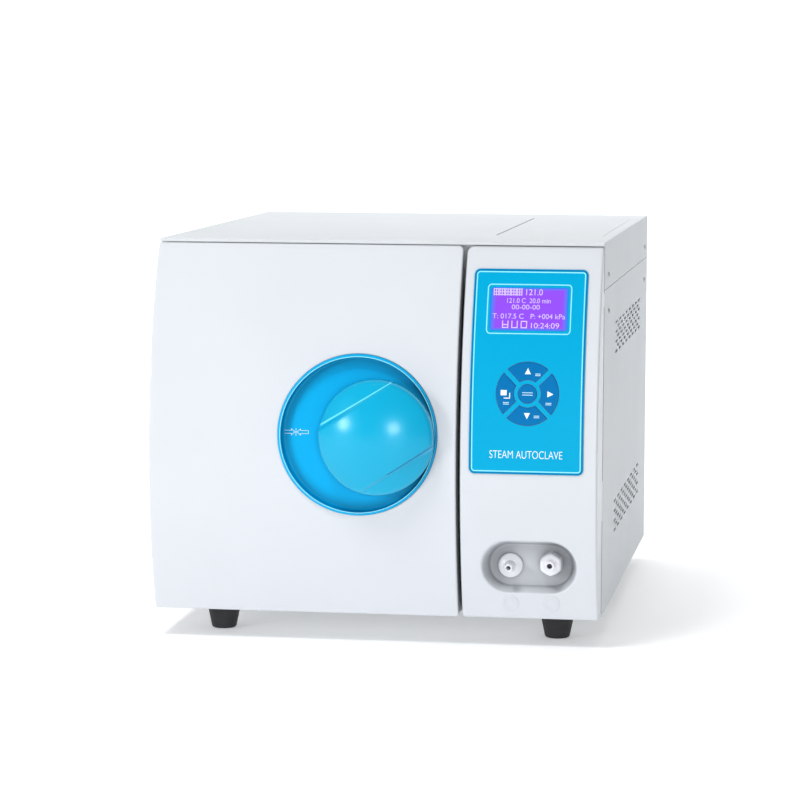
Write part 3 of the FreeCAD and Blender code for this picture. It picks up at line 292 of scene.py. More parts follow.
BLUE_SHINE = (0.25, 0.9, 1.0)          # the tint of the gloss on the blue plastics
PAINT = {"rough": (0.34, 0.44), "grain": 700, "grain_depth": 0.05, "mottle": 0.012, "coat": 0.1}
GLOSSY = {"grain": 1400, "grain_depth": 0.004, "shine": BLUE_SHINE}
SATIN = {"rough": (0.38, 0.46), "grain": 2400, "grain_depth": 0.03, "ior": 1.4, "shine": BLUE_SHINE}
PRINT = {"rough": (0.4, 0.5), "grain": 2600, "grain_depth": 0.05, "mottle": 0.03}
WHITE_PAINT = surface("front_paint", (0.665, 0.69, 0.73), **PAINT)
# a copy of the front paint with painted shade: ambient occlusion darkens the hose recess and other nooks
SHADED_COLUMN_PAINT = surface("column_paint_shaded", (0.66, 0.685, 0.725), painted_shade_reach=0.024, **PAINT)
CASE_PAINT = surface("case_paint", (0.63, 0.66, 0.685), rough=(0.42, 0.58), grain=1500,
                     grain_depth=0.22, mottle=0.02)
KNOB_BLUE = surface("knob_blue", (0.0, 0.40, 0.66), rough=(0.3, 0.36), mottle=0.012, coat=0.5, **GLOSSY)
# painted highlight: a pale copy of the knob blue, laid along the upper cut's foot where a highlight falls
KNOB_PAINTED_HIGHLIGHT = surface("knob_painted_highlight", (0.16, 0.80, 1.0), rough=(0.3, 0.36), mottle=0.012, **GLOSSY)
# painted shade: a dark copy of the knob blue, laid along the lower cut where shade falls
KNOB_PAINTED_SHADE = surface("knob_painted_shade", (0.0, 0.18, 0.42), rough=(0.6, 0.7), mottle=0.012, **GLOSSY)
# the dish's own blue, with painted shade: ambient occlusion darkens the gap round the knob and the dish's
# nooks
DISH_BLUE = surface("dish_blue", (0.0, 0.40, 0.78), rough=(0.36, 0.42), mottle=0.015, painted_shade_reach=0.013,
                    **GLOSSY)
FILM_BLUE = surface("film_blue", (0.0, 0.37, 0.65), mottle=0.01, **SATIN)
FILM_DARK = surface("film_border", (0.0, 0.19, 0.44), mottle=0.02, **SATIN)
# printed pale lines on the film, and the painted highlight ring on the dish's rim
LINE_PALE = surface("pale_line", (0.30, 0.84, 1.0), rough=(0.35, 0.42), grain=2400,
                    grain_depth=0.04, mottle=0.02)
KEY_BLUE = surface("key_blue", (0.0, 0.15, 0.42), rough=(0.38, 0.46), grain=2200, grain_depth=0.05,
                   mottle=0.04, ior=1.4, shine=BLUE_SHINE)
PRINT_WHITE = surface("print_white", (0.86, 0.93, 0.98), **PRINT)
PRINT_PALE = surface("print_pale", (0.55, 0.80, 0.96), **PRINT)
RUBBER = surface("black_rubber", (0.018, 0.018, 0.02), rough=(0.55, 0.75), grain=1300,
                 grain_depth=0.3, mottle=0.2, mottle_scale=60)
# real dark plastic, and also the dark strips and plugs that paint shade in the column seam, the lid's slit
# and the nozzles' bores
DARK_PLASTIC_AND_SHADE = surface("dark_plastic", (0.02, 0.02, 0.023), rough=(0.4, 0.55), grain=1600,
                   grain_depth=0.2, mottle=0.15, mottle_scale=50)
WHITE_PLASTIC = surface("white_plastic", (0.80, 0.81, 0.84), rough=(0.28, 0.36), grain=900,
                        grain_depth=0.03, mottle=0.02, coat=0.2)
SILICONE = surface("silicone", (0.66, 0.64, 0.60), rough=(0.4, 0.5), grain=800, grain_depth=0.1,
                   mottle=0.05, mottle_scale=30)
STEEL = surface("brushed_steel", (0.55, 0.56, 0.57), rough=(0.22, 0.42), metal=1.0, grain=260,
                grain_depth=0.08, mottle=0.05, stretch=(1.0, 14.0, 14.0), wear=(0.72, 0.73, 0.74))
ZINC = surface("zinc_plate", (0.50, 0.52, 0.54), rough=(0.3, 0.5), metal=1.0, grain=120,
               grain_depth=0.06, mottle=0.14, mottle_scale=70, wear=(0.66, 0.68, 0.70))
CHROME = surface("polished_steel", (0.68, 0.69, 0.70), rough=(0.1, 0.2), metal=1.0, grain=900,
                 grain_depth=0.02, mottle=0.04)
BRASS = surface("brass", (0.68, 0.47, 0.19), rough=(0.2, 0.34), metal=1.0, grain=500,
                grain_depth=0.05, mottle=0.08, mottle_scale=80, wear=(0.85, 0.66, 0.36))
ALUMINIUM = surface("aluminium", (0.62, 0.63, 0.65), rough=(0.3, 0.45), metal=1.0, grain=400,
                    grain_depth=0.06, mottle=0.06)
BOARD = surface("board_green", (0.02, 0.15, 0.06), rough=(0.3, 0.45), grain=700, grain_depth=0.15,
                mottle=0.3, mottle_scale=160)
FELT = surface("glass_felt", (0.50, 0.49, 0.45), rough=(0.85, 0.95), grain=420, grain_depth=0.9,
               mottle=0.12, mottle_scale=90, sheen=0.2)

CAD_FINISH = {
    "body_paint": CASE_PAINT, "front_paint": WHITE_PAINT, "knob_blue": KNOB_BLUE,
    "dish_blue": DISH_BLUE, "film_blue": FILM_BLUE, "key_blue": KEY_BLUE, "lcd_glass": FILM_DARK,
    "dark_plastic": DARK_PLASTIC_AND_SHADE, "foot_rubber": RUBBER, "silicone": SILICONE, "stainless": STEEL,
    "zinc_steel": ZINC, "brass": BRASS, "chrome": CHROME, "white_plastic": WHITE_PLASTIC,
    "board_green": BOARD, "wrap_grey": FELT, "aluminium": ALUMINIUM,
}


def paint_cad_nodes():
    for part in frame["record"]["subparts"]:
        mesh = frame["nodes"][part["node"]].data
        mesh.materials.clear()
        mesh.materials.append(CAD_FINISH[part["material_slot"]])


# ---- mesh building

def mesh_object(name, build, material, smooth=True):
    bmesh.ops.recalc_face_normals(build, faces=build.faces[:])
    mesh = bpy.data.meshes.new(name)
    build.to_mesh(mesh)
    build.free()
    mesh.materials.append(material)
    for polygon in mesh.polygons:
        polygon.use_smooth = smooth
    piece = bpy.data.objects.new(name, mesh)
    bpy.context.scene.collection.objects.link(piece)
    return piece


def finish_piece(piece, body, slot, *nodes, sharp=None):
    """Smooths the shading up to an angle, and hands the piece to its body."""
    if sharp:
        piece.data.set_sharp_from_angle(angle=math.radians(sharp))
    if nodes:
        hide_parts(*nodes)
    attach(piece, body)


def add_piece(name, build, material, body, slot, *nodes, smooth=True, sharp=None):
    finish_piece(mesh_object(name, build, material, smooth), body, slot, *nodes, sharp=sharp)


def disc_outline(x, z, radius, count=96):
    """An outline that grows or shrinks: a circle."""
    def points(grow):
        reach = radius + grow
        turns = [2 * math.pi * index / count for index in range(count)]
        return [(x + reach * math.cos(turn), z + reach * math.sin(turn)) for turn in turns]
    return points


def rounded_outline(x, z, wide, high, corner, steps=8):
    """A rectangle whose corners may each have their own radius, never under a tenth of a millimetre."""
    radii = corner if isinstance(corner, (list, tuple)) else [corner] * 4

    def points(grow):
        loop = []
        quarters = ((1, 1, 0), (-1, 1, 1), (-1, -1, 2), (1, -1, 3))
        for (sx, sz, quarter), radius in zip(quarters, radii):
            reach = max(radius + grow, 0.1 * MM)
            cx = x + sx * (wide / 2 + grow - reach)
            cz = z + sz * (high / 2 + grow - reach)
            for step in range(steps + 1):
                turn = math.pi / 2 * (quarter + step / steps)
                loop.append((cx + reach * math.cos(turn), cz + reach * math.sin(turn)))
        return loop
    return points


def stadium_outline(x, z, wide, high, steps=24):
    def points(grow):
        loop = []
        for side, start in ((1, -0.5), (-1, 0.5)):
            for step in range(steps + 1):
                turn = math.pi * (start + step / steps)
                reach = high / 2 + grow
                cx = x + side * (wide - high) / 2
                loop.append((cx + reach * math.cos(turn), z + reach * math.sin(turn)))
        return loop
    return points


def quarter_outline(x, z, inner, outer, web, turn, steps=10):
    """A quarter key: a ring quarter whose straight sides keep to the diagonals."""
    def points(grow):
        loop = []
        side = web / 2 - grow
        for radius, order in ((outer + grow, range(steps + 1)), (inner - grow, range(steps, -1, -1))):
            reach = math.pi / 4 - math.asin(side / radius)
            for step in order:
                swing = math.radians(turn) + reach * (2 * step / steps - 1)
                loop.append((x + radius * math.cos(swing), z + radius * math.sin(swing)))
        return loop
    return points


def polygon_outline(corners):
    """A small printed shape; it grows about its middle."""
    cx = sum(x for x, z in corners) / len(corners)
    cz = sum(z for x, z in corners) / len(corners)

    def points(grow):
        loop = []
        for x, z in corners:
            away = math.hypot(x - cx, z - cz)
            loop.append((x + (x - cx) / away * grow, z + (z - cz) / away * grow))
        return loop
    return points


def edge_rows(radius, deep, steps=5, hold=1.5 * MM):
    """Cross-section of a rounded edge, from the flat face over the edge and back to its wall."""
    rows = [(-radius - hold, 0.0), (-radius, 0.0)]
    for step in range(1, steps + 1):
        turn = math.pi / 2 * step / steps
        rows.append((-radius + radius * math.sin(turn), radius * (1 - math.cos(turn))))
    return rows + [(0.0, depth) for depth in deep]


def join_loops(build, loops):
    """Quads between closed loops of equally many points; a loop that is one point gives triangles."""
    for near, far in zip(loops, loops[1:]):
        for index in range(len(near)):
            after = (index + 1) % len(near)
            corners = []
            for vertex in (near[index], near[after], far[after], far[index]):
                if vertex not in corners:
                    corners.append(vertex)
            if len(corners) > 2:
                build.faces.new(corners)


def add_strips(build, outline, rows, sign):
    """Strips between the outline's loops; returns the first and the last loop."""
    loops = []
    for grow, depth in rows:
        loops.append([build.verts.new((x, depth, z)) for x, z in outline(sign * grow)])
    join_loops(build, loops)
    return loops[0], loops[-1]


def loop_edges(build, loop):
    edges = []
    for index, vertex in enumerate(loop):
        after = loop[(index + 1) % len(loop)]
        edge = build.edges.get((vertex, after))
        edges.append(edge or build.edges.new((vertex, after)))
    return edges


def cut_in_strips(build):
    """Cuts the mesh at level planes, so that it can follow the bulge."""
    heights = [vertex.co.z for vertex in build.verts]
    level = math.floor(min(heights) / STRIP + 1) * STRIP
    while level < max(heights):
        geometry = build.verts[:] + build.edges[:] + build.faces[:]
        bmesh.ops.bisect_plane(build, geom=geometry, dist=1e-7, plane_co=(0, 0, level),
                               plane_no=(0, 0, 1))
        level += STRIP


def bend(build, place):
    for vertex in build.verts:
        vertex.co.y = place(vertex.co.x, vertex.co.z, vertex.co.y)


def plate(outline, rows, holes=(), place=on_bulge):
    """A plate on the bulge: a flat face with rounded edges and holes, cut in strips and bent."""
    build = bmesh.new()
    fronts = [add_strips(build, outline, rows, 1)[0]]
    for hole, hole_rows in holes:
        fronts.append(add_strips(build, hole, hole_rows, -1)[0])
    edges = [edge for loop in fronts for edge in loop_edges(build, loop)]
    bmesh.ops.triangle_fill(build, use_beauty=True, edges=edges)
    cut_in_strips(build)
    bend(build, place)
    return build


def join_meshes(target, *others):
    for other in others:
        mesh = bpy.data.meshes.new("join")
        other.to_mesh(mesh)
        other.free()
        target.from_mesh(mesh)
        bpy.data.meshes.remove(mesh)
    bmesh.ops.remove_doubles(target, verts=target.verts[:], dist=2e-6)
    return target


def lathe(profile, centre, axis="front", count=64):
    """A turned piece: (radius, distance) pairs, closed at the axis."""
    build = bmesh.new()
    rings = []
    for radius, along in profile:
        if radius < 1e-7:
            rings.append([build.verts.new((0, 0, along))] * count)
            continue
        turns = [2 * math.pi * index / count for index in range(count)]
        rings.append([build.verts.new((radius * math.cos(turn), radius * math.sin(turn), along))
                      for turn in turns])
    join_loops(build, rings)
    turn = {"front": Matrix.Rotation(math.pi / 2, 4, "X"), "up": Matrix.Identity(4),
            "right": Matrix.Rotation(math.pi / 2, 4, "Y"),
            "left": Matrix.Rotation(-math.pi / 2, 4, "Y")}[axis]
    bmesh.ops.transform(build, matrix=Matrix.Translation(centre) @ turn, verts=build.verts[:])
    return build


# ---- door

def wall_to(plane_out, deepest, follow=STRIP):
    """Depths past the first few millimetres blend into a flat plane, plane_out before the casing."""
    def place(x, z, depth):
        if depth <= follow:
            return on_bulge(x, z, depth)
        share = (depth - follow) / (deepest - follow)
        out = (bulge(z) - follow) * (1 - share) + plane_out * share
        return FRONT - out
    return place


def open_bolt_slot(build, wall_x):
    """Opens the slot that the bolt slides through, in the wall that stands at wall_x."""
    low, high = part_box("lock_bolt")
    room = Vector((0, 1, 1)) * MM
    low, high = low - room, high + room

    def in_wall(face):
        return abs(face.calc_center_median().x - wall_x) < 4 * MM and abs(face.normal.x) > 0.8
    build.normal_update()
    for spot, across in ((low, (0, 1, 0)), (high, (0, 1, 0)), (low, (0, 0, 1)), (high, (0, 0, 1))):
        wall = [face for face in build.faces if in_wall(face)]
        geometry = set(wall)
        for face in wall:
            geometry.update(face.edges)
            geometry.update(face.verts)
        bmesh.ops.bisect_plane(build, geom=list(geometry), dist=1e-7, plane_co=spot, plane_no=across)
        build.normal_update()
    gone = []
    for face in build.faces:
        centre = face.calc_center_median()
        if in_wall(face) and low.y < centre.y < high.y and low.z < centre.z < high.z:
            gone.append(face)
    bmesh.ops.delete(build, geom=gone, context="FACES")


def node_outline(node, corner):
    """The rounded front outline of a node's box."""
    low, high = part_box(node)
    spot, size = (low + high) / 2, high - low
    return rounded_outline(spot.x, spot.z, size.x, size.z, corner)


def node_radius(node):
    low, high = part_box(node)
    return (high.x - low.x) / 2


def make_door():
    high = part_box("door_shell")[1]
    dish = middle("knob_bezel")
    radius = node_radius("knob_bezel")
    outline = node_outline("door_shell", (5 * MM, 2.5 * MM, 2.5 * MM, 3 * MM))
    rows = edge_rows(1.8 * MM, [4 * MM, STRIP, 20 * MM, WALL_DEEP])
    rows += [(-WALL_THICK, WALL_DEEP), (-WALL_THICK, 26 * MM)]
    hole = disc_outline(dish.x, dish.z, radius + 0.1 * MM, 128)
    hole_rows = edge_rows(0.5 * MM, [2.4 * MM], steps=3)
    back_gap = FRONT - high.y
    build = plate(outline, rows, [(hole, hole_rows)], wall_to(back_gap, WALL_DEEP))
    open_bolt_slot(build, high.x)
    add_piece("door_skin", build, WHITE_PAINT, "door", "front_paint", "door_shell")


def ring_on_bulge(x, z, profile, count=160):
    """A turned ring laid on the bulge: (radius, height above the surface) pairs."""
    build = bmesh.new()
    rows = [(radius, -out) for radius, out in profile]
    add_strips(build, disc_outline(x, z, 0, count), rows, 1)
    bend(build, on_bulge)
    return build


def arc_rows(centre, out, radius, start, end, steps=6):
    """Part of a round cross-section, as (radius, height) pairs; angles in degrees."""
    turns = [math.radians(start + (end - start) * step / steps) for step in range(steps + 1)]
    return [(centre + radius * math.cos(turn), out + radius * math.sin(turn)) for turn in turns]


def make_dish():
    dish = middle("knob_bezel")
    radius = node_radius("knob_bezel")
    floor = -8 * MM
    profile = [(radius, -2 * MM), (radius, 0.6 * MM)]
    profile += arc_rows(radius - 1.5 * MM, 1.0 * MM, 1.5 * MM, 0, 180, 10)
    cove = 3 * MM
    profile += [(radius - 3.2 * MM, -1 * MM), (radius - 3.4 * MM, floor + cove)]
    profile += arc_rows(radius - 3.4 * MM - cove, floor + cove, cove, 0, -90, 8)
    inner = radius - 3.4 * MM - cove
    for step in range(1, 11):
        profile.append((inner - step * 5 * MM, floor))
    build = ring_on_bulge(dish.x, dish.z, profile)
    add_piece("knob_dish", build, DISH_BLUE, "door", "dish_blue", "knob_bezel")
    # painted highlight: a pale ring along the rim's inner edge, where the rim's highlight falls
    line = [(radius - 2.2 * MM, 2.35 * MM), (radius - 2.35 * MM, 2.5 * MM), (radius - 2.9 * MM, 2.45 * MM),
            (radius - 3.1 * MM, 1.9 * MM), (radius - 2.6 * MM, 1.7 * MM)]
    add_piece("dish_rim_highlight", ring_on_bulge(dish.x, dish.z, line), LINE_PALE, "door", "dish_blue")
    make_lock_icon(dish, radius, floor)


def make_lock_icon(dish, radius, floor):
    """Two outlined arrows that meet at a bar, on the left of the dish."""
    centre, level = dish.x - radius + 16.7 * MM, dish.z + 1.2 * MM
    shaft, head, bar = 1.5 * MM, 3.0 * MM, 3.4 * MM
    marks = []
    for side in (-1, 1):
        tail, neck, tip = (centre + side * along * MM for along in (12.2, 4.6, 0.9))
        corners = [(tail, level + shaft), (neck, level + shaft), (neck, level + head), (tip, level),
                   (neck, level - head), (neck, level - shaft), (tail, level - shaft)]
        marks += zip(corners, corners[1:] + corners[:1])
    marks.append(((centre, level + bar), (centre, level - bar)))
    print_strokes("lock_icon", marks, 0.55 * MM, floor, 0.12 * MM, PRINT_PALE, "door", "dish_blue")


def print_strokes(name, marks, wide, out, tall, material, body, slot):
    build = bmesh.new()
    for start, end in marks:
        add_stroke(build, start, end, wide, out, tall)
    add_piece(name, build, material, body, slot, smooth=False)


def add_stroke(build, start, end, wide, out, tall):
    """A thin raised stroke on the bulge, between two points."""
    along = Vector((end[0] - start[0], end[1] - start[1])).normalized()
    side = Vector((-along.y, along.x)) * wide / 2
    along = along * wide / 2
    spots = []
    for (x, z), forward in ((start, -1), (end, 1)):
        for turn in (-1, 1):
            spots.append((x + forward * along.x + turn * side.x, z + forward * along.y + turn * side.y))
    a, b, d, c = spots
    loops = []
    for lift in (-0.3 * MM, tall):
        loops.append([build.verts.new((x, on_bulge(x, z, -out - lift), z)) for x, z in (a, b, c, d)])
    build.faces.new(loops[0])
    build.faces.new(list(reversed(loops[1])))
    join_loops(build, loops)


# ---- knob

def rounded_ramp(share, corner):
    """Rises from 0 to 1, straight in the middle and rounded at both ends."""
    if share > 0.5:
        return 1 - rounded_ramp(1 - share, corner)
    slope = 1 / (1 - 2 * corner)
    if share < 2 * corner:
        return slope * share * share / (4 * corner)
    return slope * (share - corner)


def make_knob():
    low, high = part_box("door_knob")
    centre = middle("door_knob")
    radius = node_radius("door_knob")
    tall = high.y - low.y
    ball, edge_start = 100 * MM, 52 * MM
    slope = math.asin(edge_start / ball)
    edge = (radius - edge_start) / (1 - math.sin(slope))
    grip, soft = 35.5 * MM, 1.4 * MM
    step_mid, step_swing, reach_full = 4.8 * MM, 3.6 * MM, 42.5 * MM

    def dome(u, v):
        """Height of the domed face above the knob's back: a ball's cap with a rounded rim."""
        away = min(math.hypot(u, v), radius)
        if away <= edge_start:
            return tall - ball + math.sqrt(ball * ball - away * away)
        top = tall - ball + math.sqrt(ball * ball - edge_start * edge_start)
        run = (away - edge_start) / edge + math.sin(slope)
        return top - edge * (math.cos(slope) - math.sqrt(max(0, 1 - run * run)))

    def drop(u, side):
        """How far a shelf lies below the dome; it fades out towards one end."""
        return step_mid - side * step_swing * max(-1, min(1, u / reach_full))

    build = bmesh.new()
    columns, lanes, wall_rows, shelf_rows = 72, 36, 16, 14
    shares = [math.sin(math.pi / 2 * (2 * index / columns - 1)) for index in range(columns + 1)]
    start = grip - soft
    grid = []
    for index in range(lanes + 1):
        v = start * (2 * index / lanes - 1)
        reach = math.sqrt(radius ** 2 - v * v)
        grid.append([build.verts.new((share * reach, v, dome(share * reach, v))) for share in shares])
    for near, far in zip(grid, grid[1:]):
        join_rows(build, near, far)
    for side, row in ((-1, grid[0]), (1, grid[-1])):
        previous = row
        falls = [drop(vertex.co.x, side) for vertex in row]
        widths = [0.45 * fall + 1.6 * soft for fall in falls]
        for step in range(1, wall_rows + 1):
            line = []
            for share, fall, wide in zip(shares, falls, widths):
                v = start + wide * step / wall_rows
                u = share * math.sqrt(radius ** 2 - v * v)
                lower = fall * rounded_ramp(step / wall_rows, 0.5 * soft / wide)
                line.append(build.verts.new((u, side * v, dome(u, v) - lower)))
            faces = join_rows(build, previous, line)
            # painted highlight along the foot of the upper cut
            if side > 0 and step > wall_rows - 5:
                paint_light_on_faces(faces, 1, -reach_full, reach_full)
            # painted shade along the lower cut
            if side < 0 and step in (5, 6, 7):
                paint_light_on_faces(faces, 2, -8 * MM, reach_full)
            previous = line
        foot = [vertex.co.copy() for vertex in previous]
        for step in range(1, shelf_rows + 1):
            portion = math.sin(math.pi / 2 * step / shelf_rows)
            line = []
            for spot, fall in zip(foot, falls):
                rim = math.sqrt(max(0, radius ** 2 - spot.x ** 2))
                v = abs(spot.y) + (rim - abs(spot.y)) * portion
                line.append(build.verts.new((spot.x, side * v, dome(spot.x, v) - fall)))
            join_rows(build, previous, line)
            previous = line
    bmesh.ops.remove_doubles(build, verts=build.verts[:], dist=2e-6)
    close_knob_side(build, radius, 50 * MM, 9.5 * MM)
    turn = Matrix.Rotation(math.pi / 2, 4, "X") @ Matrix.Rotation(math.radians(33.5), 4, "Z")
    spot = Matrix.Translation((centre.x, high.y, centre.z))
    bmesh.ops.transform(build, matrix=spot @ turn, verts=build.verts[:])
    piece = mesh_object("turn_knob", build, KNOB_BLUE)
    piece.data.materials.append(KNOB_PAINTED_HIGHLIGHT)
    piece.data.materials.append(KNOB_PAINTED_SHADE)
    finish_piece(piece, "knob", "knob_blue", "door_knob", sharp=60)


def paint_light_on_faces(faces, material, start, end):
    """Gives the faces whose middles lie along part of the grip another material: the painted highlight
    (index 1) and the painted shade (index 2).
    """
    for face in faces:
        if start < face.calc_center_median().x < end:
            face.material_index = material


def join_rows(build, near, far):
    """Faces between two rows: quads, or triangles where points have run together."""
    faces = []
    for index in range(len(near) - 1):
        corners = []
        for vertex in (near[index], near[index + 1], far[index + 1], far[index]):
            if all((vertex.co - other.co).length > 1e-7 for other in corners):
                corners.append(vertex)
        if len(corners) > 2:
            faces.append(build.faces.new(corners))
    return faces


def close_knob_side(build, radius, neck, step_up):
    """Drops the knob's rim straight down to its step, then in to the neck and back."""
    boundary = [edge for edge in build.edges if edge.is_boundary]
    chamfer = 0.8 * MM
    for reach, height in ((radius, None), (radius, step_up + chamfer), (radius - chamfer, step_up),
                          (neck, step_up), (neck, 0.3 * MM)):
        made = bmesh.ops.extrude_edge_only(build, edges=boundary)["geom"]
        for vertex in (item for item in made if isinstance(item, bmesh.types.BMVert)):
            away = math.hypot(vertex.co.x, vertex.co.y)
            vertex.co.x *= reach / away
            vertex.co.y *= reach / away
            vertex.co.z = vertex.co.z - chamfer if height is None else height
        boundary = [item for item in made if isinstance(item, bmesh.types.BMEdge) and item.is_boundary]
    bmesh.ops.edgeloop_fill(build, edges=boundary)


# ---- control column

def make_column():
    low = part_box("control_column")[0]
    recess = middle("hose_recess")
    outline = node_outline("control_column", (2.5 * MM, 7 * MM, 3 * MM, 2.5 * MM))
    rows = edge_rows(2.6 * MM, [4 * MM, STRIP, 20 * MM, WALL_DEEP], steps=6)
    rows += [(-WALL_THICK, WALL_DEEP), (-WALL_THICK, 30 * MM)]
    hole = stadium_outline(recess.x, recess.z, 91 * MM, 51 * MM)
    lip = 2.6 * MM
    hole_rows = [(-lip - 1.5 * MM, 0.0), (-lip, 0.0)]
    body = plate(outline, rows, [(hole, hole_rows)], wall_to(SEAM, WALL_DEEP))

    floor_out = FRONT - (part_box("hose_recess")[1].y - 2 * MM)
    fillet = 3 * MM
    cup_rows = [(-lip, 0.0)]
    for step in range(1, 7):
        turn = math.radians(74) * step / 6
        cup_rows.append((-lip + lip * math.sin(turn), lip * (1 - math.cos(turn))))
    start_in, start_deep = cup_rows[-1]
    for share in (0.33, 0.66, 1.0):
        cup_rows.append((start_in + share * 5.0 * MM,
                         start_deep + share * (RECESS_DEEP - fillet - start_deep)))
    wall_in, wall_deep = cup_rows[-1]
    for step in range(1, 6):
        turn = math.pi / 2 * step / 5
        cup_rows.append((wall_in + fillet * (1 - math.cos(turn)), wall_deep + fillet * math.sin(turn)))
    cup_rows.append((cup_rows[-1][0] + 3 * MM, RECESS_DEEP))
    cup = bmesh.new()
    last = add_strips(cup, hole, cup_rows, -1)[1]
    bmesh.ops.triangle_fill(cup, use_beauty=True, edges=loop_edges(cup, last))
    cut_in_strips(cup)
    bend(cup, wall_to(floor_out, RECESS_DEEP, 3.0 * MM))
    open_bolt_slot(body, low.x)
    add_piece("column_skin", join_meshes(body, cup), SHADED_COLUMN_PAINT, "casing", "front_paint",
              "control_column", "hose_recess")

    for index, place_x in enumerate((middle("drain_nozzle").x, middle("fill_nozzle").x)):
        blank = disc_outline(place_x + 1.5 * MM, UNDER + 18.8 * MM, 7.3 * MM, 48)
        build = plate(blank, [(-2.2 * MM, 0.1 * MM), (-1.6 * MM, 0.0), (-0.9 * MM, -0.45 * MM),
                              (-0.4 * MM, -0.5 * MM), (0.0, -0.1 * MM), (0.3 * MM, 0.3 * MM)])
        add_piece("blank_plug_%d" % (index + 1), build, WHITE_PAINT, "casing", "front_paint")
    make_seam_tabs()


def soft_block(low, high, soft):
    """A small block with rounded edges."""
    build = bmesh.new()
    corners = [build.verts.new((x, y, z)) for x in (low[0], high[0]) for y in (low[1], high[1])
               for z in (low[2], high[2])]
    bmesh.ops.convex_hull(build, input=corners)
    bmesh.ops.dissolve_limit(build, angle_limit=0.01, verts=build.verts[:], edges=build.edges[:])
    bmesh.ops.bevel(build, geom=build.edges[:], offset=soft, segments=2, affect="EDGES")
    return build


def make_seam_tabs():
    """A dark strip in the seam beside the right side panel, which paints the seam's shade, and the two
    pale tabs over it.
    """
    strips = [("seam_shade_strip", 4, 356, 0.3, DARK_PLASTIC_AND_SHADE, "dark_plastic"),
              ("seam_tab_1", 95, 134, 0.1, WHITE_PAINT, "front_paint"),
              ("seam_tab_2", 304, 317, 0.1, WHITE_PAINT, "front_paint")]
    for name, low, high, inset, material, slot in strips:
        build = soft_block((SIDE - 4 * MM, FRONT - SEAM + inset / 2 * MM, UNDER + low * MM),
                           (SIDE - inset * MM, FRONT + 0.1 * MM, UNDER + high * MM), 0.25 * MM)
        add_piece(name, build, material, "casing", slot, sharp=40)


def make_lid_slit_shade():
    """A dark strip in the slit beside the tank lid, which paints the slit's shade."""
    low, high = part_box("tank_lid")
    build = soft_block((low.x - 1.7 * MM, low.y + 1 * MM, high.z - 3 * MM),
                       (low.x - 0.1 * MM, high.y - 1 * MM, high.z - 0.2 * MM), 0.15 * MM)
    add_piece("lid_slit_shade", build, DARK_PLASTIC_AND_SHADE, "casing", "dark_plastic", sharp=40)


# ---- control film, display and keys

def raised(front):
    """The bulge's surface moved forward by front."""
    return lambda x, z, depth: on_bulge(x, z, depth - front)


def film_plate(name, outline, front, thick, material, body, slot, node, holes=(), edge=0.15 * MM):
    """A thin plate on the bulge, its face standing out by front."""
    rows = edge_rows(edge, [thick], steps=3, hold=0.5 * MM)
    hole_rows = edge_rows(edge, [thick], steps=3, hold=0.4 * MM)
    build = plate(outline, rows, [(hole, hole_rows) for hole in holes], raised(front))
    add_piece(name, build, material, body, slot, node)


def line_plate(name, outline, inset, wide, front, material):
    """A printed line that runs round inside an outline."""
    build = bmesh.new()
    rows = [(-inset, 0.1 * MM), (-inset, 0.0), (-inset - wide, 0.0), (-inset - wide, 0.1 * MM)]
    add_strips(build, outline, rows, 1)
    cut_in_strips(build)
    bend(build, raised(front))
    add_piece(name, build, material, "casing", "film_blue", sharp=30)


def print_shape(name, corners, front, body):
    """A white printed shape on a key."""
    build = plate(polygon_outline(corners), [(0.0, 0.0), (0.0, 0.2 * MM)], place=raised(front))
    add_piece(name, build, PRINT_WHITE, body, "key_blue", smooth=False)


def print_words(name, words, x, z, wide, high, front, material, slot, weight=0.0):
    """Plain characters laid on the bulge, centred on a point and fitted to a width and a height."""
    curve = bpy.data.curves.new(name, "FONT")
    curve.body = words
    curve.size = 1.0
    curve.extrude = 0.02
    curve.offset = weight
    source = bpy.data.objects.new(name + "_source", curve)
    bpy.context.scene.collection.objects.link(source)
    bpy.context.view_layer.update()
    ready = source.evaluated_get(bpy.context.evaluated_depsgraph_get())
    mesh = bpy.data.meshes.new_from_object(ready)
    bpy.data.objects.remove(source)
    scale = high / max(vertex.co.y for vertex in mesh.vertices)
    left = min(vertex.co.x for vertex in mesh.vertices)
    stretch = wide / (max(vertex.co.x for vertex in mesh.vertices) - left)
    build = bmesh.new()
    build.from_mesh(mesh)
    for vertex in build.verts:
        across, along, lift = vertex.co
        place_z = z - high / 2 + along * scale
        place_x = x - wide / 2 + (across - left) * stretch
        proud = front + math.copysign(PRINT_TALL, lift)
        vertex.co = (place_x, on_bulge(place_x, place_z, -proud), place_z)
    add_piece(name, build, material, "casing", slot, smooth=False)


def make_control_film():
    x = middle("control_overlay").x
    outline = node_outline("control_overlay", 5.5 * MM)
    pad = middle("key_enter")
    lcd = middle("lcd_window")
    window = rounded_outline(lcd.x, lcd.z, 75 * MM, 40.5 * MM, 2.5 * MM)
    holes = [quarter_outline(pad.x, pad.z, KEY_INNER, KEY_OUTER, KEY_WEB, turn)
             for turn in (0, 90, 180, 270)]
    holes += [disc_outline(pad.x, pad.z, 9.35 * MM, 48), window]
    film_plate("control_film", outline, FILM_THICK, FILM_THICK, FILM_BLUE, "casing", "film_blue",
               "control_overlay", holes)
    line_front = FILM_THICK + 0.04 * MM
    print_front = FILM_THICK + 0.03 * MM
    line_plate("film_border", outline, 0.35 * MM, 1.5 * MM, print_front, FILM_DARK)
    line_plate("film_line", outline, 2.3 * MM, 1.0 * MM, line_front, LINE_PALE)
    frame_line = rounded_outline(lcd.x, lcd.z, 81.5 * MM, 47 * MM, 4 * MM)
    line_plate("display_line", frame_line, 0.0, 1.0 * MM, line_front, LINE_PALE)
    print_words("panel_caption", "STEAM AUTOCLAVE", x, UNDER + 166 * MM, 70 * MM, 7.4 * MM,
                print_front, PRINT_WHITE, "film_blue", weight=-0.012)
    make_display(lcd)
    make_keys(pad)


